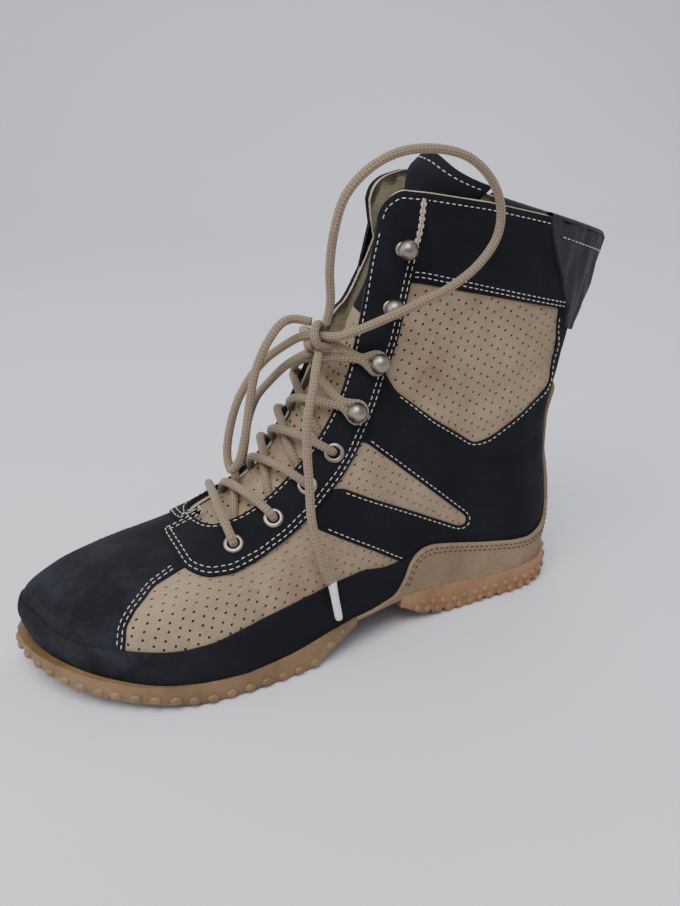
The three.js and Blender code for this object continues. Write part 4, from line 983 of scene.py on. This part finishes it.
def smoothRoute(points, step):
    points = np.asarray(points, float)
    padded = np.concatenate([[2 * points[0] - points[1]], points, [2 * points[-1] - points[-2]]])
    knots = np.concatenate([[0], np.cumsum(np.linalg.norm(np.diff(padded, axis=0), axis=1) ** 0.5)])
    out = []
    for i in range(1, len(padded) - 2):
        t0, t1, t2, t3 = knots[i - 1:i + 3]
        p0, p1, p2, p3 = padded[i - 1:i + 3]
        t = np.linspace(t1, t2, 14)[:-1, None]
        a1 = (t1 - t) / (t1 - t0) * p0 + (t - t0) / (t1 - t0) * p1
        a2 = (t2 - t) / (t2 - t1) * p1 + (t - t1) / (t2 - t1) * p2
        a3 = (t3 - t) / (t3 - t2) * p2 + (t - t2) / (t3 - t2) * p3
        b1 = (t2 - t) / (t2 - t0) * a1 + (t - t0) / (t2 - t0) * a2
        b2 = (t3 - t) / (t3 - t1) * a2 + (t - t1) / (t3 - t1) * a3
        out.append((t2 - t) / (t2 - t1) * b1 + (t - t1) / (t2 - t1) * b2)
    line = np.concatenate(out + [points[-1:]])
    run = np.concatenate([[0], np.cumsum(np.linalg.norm(np.diff(line, axis=0), axis=1))])
    at = np.linspace(0, run[-1], max(4, int(run[-1] / step)))
    return np.stack([np.interp(at, run, line[:, k]) for k in range(3)], -1)


def tubeAlong(line, radius, sides):
    flow = unit(np.gradient(line, axis=0))
    up = unit(np.cross(flow[0], [0.3, 0.2, 0.9]))
    rings, run = [], np.concatenate([[0], np.cumsum(np.linalg.norm(np.diff(line, axis=0), axis=1))])
    radii = np.full(len(line), radius) if np.isscalar(radius) else radius
    angle = np.linspace(0, 2 * math.pi, sides + 1)
    uvs = []
    for i, (p, f) in enumerate(zip(line, flow)):
        up = unit(up - f * up.dot(f))
        other = np.cross(f, up)
        rings.append(p + radii[i] * (np.cos(angle)[:, None] * up + np.sin(angle)[:, None] * other))
        uvs.append(np.stack([angle / (2 * math.pi), np.full(sides + 1, run[i])], -1))
    verts, uvs = np.concatenate(rings), np.concatenate(uvs)
    n = sides + 1
    faces = [[i * n + k, i * n + k + 1, (i + 1) * n + k + 1, (i + 1) * n + k]
             for i in range(len(line) - 1) for k in range(sides)]
    faces += [list(range(sides - 1, -1, -1)), [(len(line) - 1) * n + k for k in range(sides)]]
    return verts, faces, uvs, run[-1]


def lacePiece(name, routes, replaces, radius=None, material=None):
    allVerts, allFaces, allUvs, count, lengths = [], [], [], 0, []
    for route in routes:
        line = smoothRoute(route, lace["step"])
        verts, faces, uvs, length = tubeAlong(line, radius or lace["diameter"] / 2, lace["sides"])
        allVerts.append(verts)
        allUvs.append(uvs)
        allFaces += [[i + count for i in f] for f in faces]
        count += len(verts)
        lengths.append(length)
    piece = meshPiece(name, np.concatenate(allVerts), allFaces, material or laceBraid, replaces=replaces,
                      uvs=np.concatenate(allUvs))
    return piece, lengths


def onUpper(rows):
    rows = np.asarray(rows, float)
    return surface(rows[:, 0], rows[:, 1], rows[:, 2])


def across(fromTurn, fromLevel, toTurn, toLevel, heights):
    # heights: (turn, offset) on the way; the lace runs straight as seen from in front of the instep
    turns = np.array([t for t, _ in heights], float)
    ends = lastPoint(np.array([fromTurn, toTurn]), np.array([fromLevel, toLevel]))
    sideways = np.cross(ends[1] - ends[0], lastNormal(180.0, (fromLevel + toLevel) / 2))
    sideways *= np.sign(sideways[2])
    low, high = np.full_like(turns, 3.0), np.full_like(turns, 12.0)
    for _ in range(40):
        level = (low + high) / 2
        above = (lastPoint(turns, level) - ends[0]) @ sideways > 0
        low, high = np.where(above, low, level), np.where(above, level, high)
    return onUpper([(t, l, h) for (t, h), l in zip(heights, level)])


def roundHook(turn, level, start=-80, end=80):
    # once round the back of the stem, from the lower to the upper side
    origin, toThroat, up, _ = localFrame(turn, level, 3.1)
    angles = np.radians(np.linspace(start - 360 if start > 0 else start, end - 360, 7))
    reach = hookShape["stem"] + lace["diameter"] / 2 + 0.25
    return origin + reach * (np.cos(angles)[:, None] * toThroat + np.sin(angles)[:, None] * up)


top = {(row, side): value for row, values in enumerate(fittingRows, 1)
       for side, value in (("near", values[1:3]), ("far", values[3:5]))}
intoNear = [(150, 3.0), (144, 2.75), (142.3, 1.4), (142, -1.5), (142, -4)]
intoFar = [(214, 3.0), (220, 2.75), (221.8, 1.4), (222.2, -1.5), (222.2, -4)]
strands = [across(*top[1, "near"], *top[1, "far"],
                  intoNear[::-1] + [(160, 2.7), (170, 1.9), (180, 1.4), (190, 1.8), (202, 2.7)] + intoFar)]
for k in (2, 3, 4):
    strands.append(across(*top[k - 1, "far"], *top[k, "near"],
                          [(222, -4.6), (214, -5), (206.5, -4), (197, -1.2), (188, 1.4), (180, 2.3), (168, 2.2),
                           (158, 2.8)] + intoNear))
    strands.append(across(*top[k - 1, "near"], *top[k, "far"],
                          [(142, -4.6), (149, -5), (156, -4.2), (165, -2.6), (180, -1.9), (190, -1.2), (200, 1.2),
                           (207, 2.7)] + intoFar))
knotFoot = np.array([(95, 12, 133)])
strands.append(np.concatenate([
    across(*top[4, "far"], *top[5, "near"], [(224, -4.6), (214, -5), (206.5, -4), (195, -1.4), (180, 2.2), (166, 2.3),
                                            (156, 3.0), (148, 3.1)]),
    roundHook(*top[5, "near"]),
    across(*top[5, "near"], *top[6, "far"], [(150, 3.1), (157, 3.0), (168, 1.6), (180, 0.4), (194, 1.4), (206, 3.0),
                                            (224, 3.1)]),
    roundHook(*top[6, "far"]),
    across(*top[6, "far"], 180, 8.25, [(225, 3.2), (212, 4), (200, 5)]), knotFoot]))
strands.append(np.concatenate([
    across(*top[4, "near"], *top[5, "far"], [(142, -4.6), (149, -5), (156, -4), (166, -2), (180, -1.9), (195, 0.4),
                                            (206, 2.9), (221, 3.1)]),
    roundHook(*top[5, "far"]),
    across(*top[5, "far"], *top[6, "near"], [(220, 3.1), (206, 3.2), (194, 3.4), (180, 4.6), (168, 4.4), (157, 3.4),
                                            (148, 3.1)]),
    roundHook(*top[6, "near"]),
    across(*top[6, "near"], 172, 8.2, [(148, 3.2), (156, 4), (164, 6)]), knotFoot + [0, 1.5, 0]]))

knot = {"centre": (97, 11.5, 138), "axis": (-0.51, 0.85, 0.1), "radius": 4.8, "pitch": 4.9, "turns": 1.3}


def knotRoute():
    axis = unit(np.array(knot["axis"]))
    first = np.array([0, 0, knot["radius"]])
    first = first - axis * first.dot(axis)
    second = np.cross(axis, first)
    wound = (np.arange(12) / 11 - 0.5) * knot["turns"]
    spin = wound * 2 * math.pi
    return (np.array(knot["centre"]) + wound[:, None] * knot["pitch"] * axis
            + np.cos(spin)[:, None] * first + np.sin(spin)[:, None] * second)


lacePiece("laceCrossings", strands, ["lace_crossings"])
knotLine = knotRoute()
knotPiece, knotLengths = lacePiece("laceKnot", [knotLine], ["lace_knot"])
routes = {
    "laceLoopLarge": [(95, 14.8, 143.6), (94.6, 17.8, 153), (97, 22, 168), (97.5, 27, 184), (94.5, 31, 198),
                      (85.5, 34, 208),
                      (73, 36, 213.5), (57, 38, 214), (43, 39, 210), (32, 39, 201), (26, 38, 190), (26, 37, 178),
                      (33, 36, 167.5), (45, 35, 159), (62, 35, 153), (76, 33, 148), (85, 27, 143), (91.5, 20, 139),
                      (96.7, 12, 138)],
    "laceLoopSmall": [(97.5, 10.7, 137.8), (101.5, 4.5, 136.5), (107, 0, 132.5), (117, -3, 125), (127, -5, 111),
                      (132, -6, 96), (134, -5, 84), (134, -1, 79), (132, 3, 84), (129, 5, 98), (127, 6, 112),
                      (124, 7, 126), (119, 8, 137), (112, 7, 144), (106, 6, 145), (98.8, 8.8, 143.5)],
    "laceEndNear": [(99.3, 15.9, 131), (103.2, 21.5, 128), (108, 28, 121), (113, 32.5, 109), (114.5, 35, 97),
                    (115, 37.5, 84.5), (116, 41.5, 69), (115, 45, 58), (112.5, 47, 47), (110, 48, 40.5)],
    "laceEndFar": [(99.6, 9.2, 131), (105.5, -1, 123.5), (109, -13, 113), (112, -22, 103), (113, -30, 90),
                   (113, -35, 77), (113, -39.5, 64), (112, -42, 53), (110.5, -43, 42.5)],
}
nodes = {"laceLoopLarge": "lace_loop_large", "laceLoopSmall": "lace_loop_small", "laceEndNear": "lace_end_near",
         "laceEndFar": "lace_end_far"}
tips = {"laceEndNear": ("agletNear", (109.8, 48.1, 39.9), (107.4, 50, 22.5), "aglet_near"),
        "laceEndFar": ("agletFar", (110.4, -43.1, 42), (107.5, -44.5, 24.5), "aglet_far")}


def declareCord(piece, line, length, far):
    round(length / 1000, 4)
    print("cord", piece.name, round(length / 1000, 4), "m")


declareCord(knotPiece, smoothRoute(knotLine, lace["step"]), knotLengths[0], "object")
for name, route in routes.items():
    piece, lengths = lacePiece(name, [route], [nodes[name]])
    if name in tips:
        tipName, start, aim, node = tips[name]
        start, aim = np.array(start, float), np.array(aim, float)
        tipLine = start + unit(aim - start) * np.array([-1.5, 0, 4, 8, 12, 15.5, 16.6, 17])[:, None]
        verts, faces, uvs, _ = tubeAlong(tipLine, np.array([2.0, 1.95, 1.8, 1.75, 1.75, 1.7, 1.4, 0.7]), 20)
        meshPiece(tipName, verts, faces, aglet, replaces=[node])
    declareCord(piece, smoothRoute(route, lace["step"]), lengths[0], "knot" if "Loop" in name else "fitting")
print("laces done")


capEdge = [(0.774, 0.208), (0.815, 0.188), (0.85, 0.157), (0.871, 0.125), (0.882, 0.07)]
rearStrap = [(0.031, 0.65), (0.027, 0.6), (0.025, 0.535), (0.033, 0.482), (0.122, 0.421), (0.19, 0.377),
             (0.222, 0.374), (0.307, 0.457),
             (0.375, 0.54)]
triangleEdge = [(0.437, 0.43), (0.241, 0.186), (0.24, 0.168), (0.256, 0.163), (0.49, 0.337)]
vampRearEdge = [(0.385, 0.118), (0.441, 0.17), (0.503, 0.223), (0.535, 0.25)]
white, tacks = Parts(), Parts()
for inset in (1.3, 3.5):
    stitchRow(white, seamPath(dense(eyestayLine * [1, levelScale], 2) / [1, levelScale], inset, fittingTop))
stitchRow(white, seamPath(throatLine, -1.7, fittingTop))
for side in (1, -1):
    for inset in (1.3, 3.2):
        stitchRow(white, seam(capEdge, side, inset, wall["leather"]))
        stitchRow(white, seam(cuffEdge, side, -inset, wall["overlay"] - 0.25))
    collar, ends = (outerCollar, eyestayTopOuter) if side > 0 else (innerCollar, eyestayTopInner)
    onStay = collar[:, 0] > ends[-1, 0] if side > 0 else collar[:, 0] < ends[-1, 0]
    stitchRow(white, seamPath(collar[onStay], 2.6 * side, fittingTop))
    stitchRow(white, seamPath(collar[~onStay], 2.6 * side, wall["overlay"] - 0.25))
    tack = (eyestayOuter if side > 0 else eyestayInner)
    tack = tack[(tack[:, 1] < ends[-1, 1] - 0.05) & (tack[:, 1] > ends[-1, 1] - 0.8)]
    for inset in (2.0, 2.9):
        stitchRow(tacks, seamPath(tack, inset * -side, fittingTop), pitch=1.5, dash=2.2, thick=0.4, rise=0.3)
    stitchRow(white, seam(rearStrap, side, -1.5, wall["leather"]))
    stitchRow(white, seam(triangleEdge, side, -1.5, wall["leather"]))
    stitchRow(white, seam(vampRearEdge, side, 1.5, wall["leather"]))
u = np.linspace(0.03, 0.97, 90)
tongueSeam = tonguePoint(u, np.full_like(u, 0.965), np.full_like(u, -3.7))
tongueOut = unit(tonguePoint(u, np.full_like(u, 0.965), np.full_like(u, 0)) - tongueSeam)
stitchRow(white, (tongueSeam, tongueOut))
white.piece("whiteStitching", whiteThread)
tacks.piece("barTacks", beigeThread)
dark = Parts()
for side in (1, -1):
    for inset in (1.6, 3.4):
        stitchRow(dark, seam(heelRandTop[3:-2], side, inset, wall["suede"]), rise=0.1, thick=0.26)
dark.piece("heelStitching", darkThread)
print("stitching done")

# the strap over the back of the collar: smooth leather, slack, turned over the edge and in
tabEdge = [(0.078, 0.93), (0.07, 0.88), (0.058, 0.83), (0.035, 0.745), (0.012, 0.66), (-0.002, 0.61), (-0.12, 0.595)]
tab = Parts()


def tabHeight(turn, level):
    away = np.minimum(turn, 360 - turn)
    fold = 0.55 * np.sin(away * 0.32 + level * 2.1) + 0.35 * np.sin(away * 0.75 - level * 3.2)
    return 1.5 + fold * fade(level, 6.6, 8)


for side, collar, seamTurn in ((1, outerCollar, 0), (-1, innerCollar, 360)):
    edge = fromSide(tabEdge, side)
    edge[-1, 0] = seamTurn
    x0 = lastPoint(edge[:1, 0], edge[:1, 1])[0, 0]
    rim = collar[lastPoint(collar[:, 0], collar[:, 1])[:, 0] < x0]
    edge = edge[edge[:, 1] < rim[0, 1]]
    leatherPatch(tab, np.concatenate([edge, rim[::-1]]), tabHeight, wall["panel"] - 0.4, cell=(1.6, 1.6))
    for a in rim[None, :, :]:
        centre = surface(a[:, 0], a[:, 1], -1.1)
        out = lastNormal(a[:, 0], a[:, 1])
        up = unit(surface(a[:, 0], a[:, 1] + 0.04) - surface(a[:, 0], a[:, 1] - 0.04))
        turns = np.radians(np.linspace(0, 180, 10))
        rows = [centre + 2.6 * (math.cos(t) * out + math.sin(t) * 0.8 * up) for t in turns]
        rows += [centre - 2.6 * out - up * d for d in (3, 6, 9, 12)]
        grid = np.stack(rows)
        n = len(a)
        faces = [[r * n + k, r * n + k + 1, (r + 1) * n + k + 1, (r + 1) * n + k]
                 for r in range(len(rows) - 1) for k in range(n - 1)]
        tab.add(grid.reshape(-1, 3), [f[::-1] for f in faces] if side > 0 else faces)
tab.piece("pullTab", blackLeather, replaces=["pull_tab"])
tabSeam = Parts()
for side in (1, -1):
    stitchRow(tabSeam, seam([(0.05, 0.862), (0.0, 0.838), (-0.06, 0.81), (-0.1, 0.79)], side, 0, 2.0))
tabSeam.piece("pullTabStitching", whiteThread)


soleEdge = {"proud": 1.2, "noses": 2.6, "pitch": 8, "spring": 11.5, "studSides": 14}
treads = {
    "fore": smoothCurve([(0.489, 1.18), (0.498, 1.08), (0.546, 0.52), (0.586, 0), (0.763, 0), (0.817, 0.19),
                         (0.874, 0.35),
                         (0.931, 0.52), (0.977, 0.75), (1.004, 1), (1.04, 1.5)]),
    "heel": smoothCurve([(-0.02, 0.9), (0.012, 0.4), (0.035, 0.12), (0.06, 0), (0.26, 0), (0.31, 0.17), (0.345, 0.42),
                         (0.375, 0.85), (0.39, 1.05)]),
}


def soleLine(count=900):
    angle = np.linspace(0, 2 * math.pi, count, endpoint=False)
    along = (1 - np.cos(angle)) / 2
    side = np.where(angle <= math.pi, 1, -1)
    y = axisY(along) + side * halfBreadth(side, along, np.full(count, 0.035), 0.0, 1.0)
    points = np.stack([alongX(along), y], -1)
    flow = unit(np.roll(points, -1, 0) - np.roll(points, 1, 0))
    out = np.stack([-flow[:, 1], flow[:, 0]], -1)
    return points + out * soleEdge["proud"], out, along


def studs(name, tread, rows, material):
    # rows of rounded studs on a unit's edge: height, pitch, start, then how wide, tall and proud
    line, out, along = soleLine()
    keep = (along > 0.5) & (along < 1.01) if tread == "fore" else (along < 0.36)
    first = np.argmax(~keep) if keep[0] else 0
    order = np.roll(np.arange(len(line)), -first)
    line, out, along, keep = line[order], out[order], along[order], keep[order]
    line, out, along = line[keep], out[keep], along[keep]
    run = np.concatenate([[0], np.cumsum(np.minimum(np.linalg.norm(np.diff(line, axis=0), axis=1), 4))])
    parts = Parts()
    for height, pitch, start, (wide, tall, proud) in rows:
        for at in np.arange(start, run[-1] - 1, pitch):
            i = int(np.searchsorted(run, at))
            lift = max(float(treads[tread](along[i])), 0) * soleEdge["spring"]
            z = lift + height
            outward = np.array([out[i, 0], out[i, 1], 0])
            flow = np.array([-out[i, 1], out[i, 0], 0])
            base = np.array([line[i, 0], line[i, 1], z]) - outward * 0.5
            verts, faces = [base + outward * (proud + 0.5)], []
            sides = soleEdge["studSides"]
            angle = np.arange(sides) * 2 * math.pi / sides
            for r, h in ((0.35, 0.95), (0.65, 0.78), (0.88, 0.45), (1, 0)):
                ring = (base + outward * (h * proud + (0.5 if h else 0)) + r * (wide * np.cos(angle)[:, None] * flow
                        + tall * np.sin(angle)[:, None] * np.array([0, 0, 1])))
                verts += list(ring)
            for k in range(sides):
                t = (k + 1) % sides
                faces.append([0, 1 + t, 1 + k])
                for r in range(3):
                    a = 1 + r * sides
                    faces.append([a + k, a + t, a + sides + t, a + sides + k])
            parts.add(verts, faces)
    parts.piece(name, material)


studs("forefootStuds", "fore", [(2.9, 8, 3, (2.7, 1.9, 1.0))], foreRubber)
studs("heelStuds", "heel", [(2.7, 6.2, 2, (1.9, 1.7, 1.0)), (6.6, 6.2, 5.1, (1.9, 1.7, 1.0))], heelRubber)

kept = {"outsole_forefoot": foreRubber, "outsole_heel": heelRubber, "lasting_board": navyLeather, "insole": cloth}
for name, material in kept.items():
    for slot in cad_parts[name].material_slots:
        slot.material = material
print("soles done")


floorShape = {"ahead": 2.6, "behind": 1.0, "bend": 0.55, "top": 2.4, "half": 3.2}


def addFloor():
    # a pale sweep: floor, wide bend and wall behind the boot
    f = floorShape
    run = [(-f["ahead"], 0), (-1.2, 0), (0, 0), (f["behind"], 0)]
    run += [(f["behind"] + f["bend"] * math.sin(t), f["bend"] * (1 - math.cos(t)))
            for t in np.linspace(0, math.pi / 2, 25)[1:]]
    run.append((f["behind"] + f["bend"], f["top"]))
    fx, fy = photo["forward"]
    verts = [(0.08 + fx * d - fy * w, fy * d + fx * w, z) for d, z in run for w in (-f["half"], f["half"])]
    mesh = bpy.data.meshes.new("floor")
    mesh.from_pydata(verts, [], [(2 * i, 2 * i + 1, 2 * i + 3, 2 * i + 2) for i in range(len(run) - 1)])
    mesh.polygons.foreach_set("use_smooth", [True] * len(mesh.polygons))
    s = Shader("paleFloor")
    cloud = s.noise(3, 2, 0.5)
    mesh.materials.append(s.finish(s.mix(cloud, (0.66, 0.66, 0.71), (0.72, 0.72, 0.765)), 0.9 + cloud * 0.05,
                                   s.noise(900, 2), 0.00005))
    floor = bpy.data.objects.new("floor", mesh)
    bpy.context.scene.collection.objects.link(floor)


lights = {
    "key": {"place": (0.55, 0.5, 1.25), "size": 0.9, "power": 16, "color": (1, 0.985, 0.96)},
    "fill": {"place": (1.3, -0.1, 0.7), "size": 1.2, "power": 7, "color": (0.94, 0.96, 1)},
    "back": {"place": (-0.6, -0.8, 1.0), "size": 0.8, "power": 5, "color": (0.97, 0.98, 1)},
}
for name, setting in lights.items():
    data = bpy.data.lights.new(name, "AREA")
    data.size, data.energy, data.color = setting["size"], setting["power"], setting["color"]
    light = bpy.data.objects.new(name, data)
    bpy.context.scene.collection.objects.link(light)
    light.location = setting["place"]
    light.rotation_euler = (Vector((0.08, 0, 0.08)) - Vector(setting["place"])).to_track_quat("-Z", "Y").to_euler()
world = bpy.data.worlds.new("studio")
world.use_nodes = True
background = world.node_tree.nodes["Background"]
background.inputs["Color"].default_value = (0.8, 0.82, 0.88, 1)
background.inputs["Strength"].default_value = 0.75
bpy.context.scene.world = world
addFloor()
print("stage and lights done")
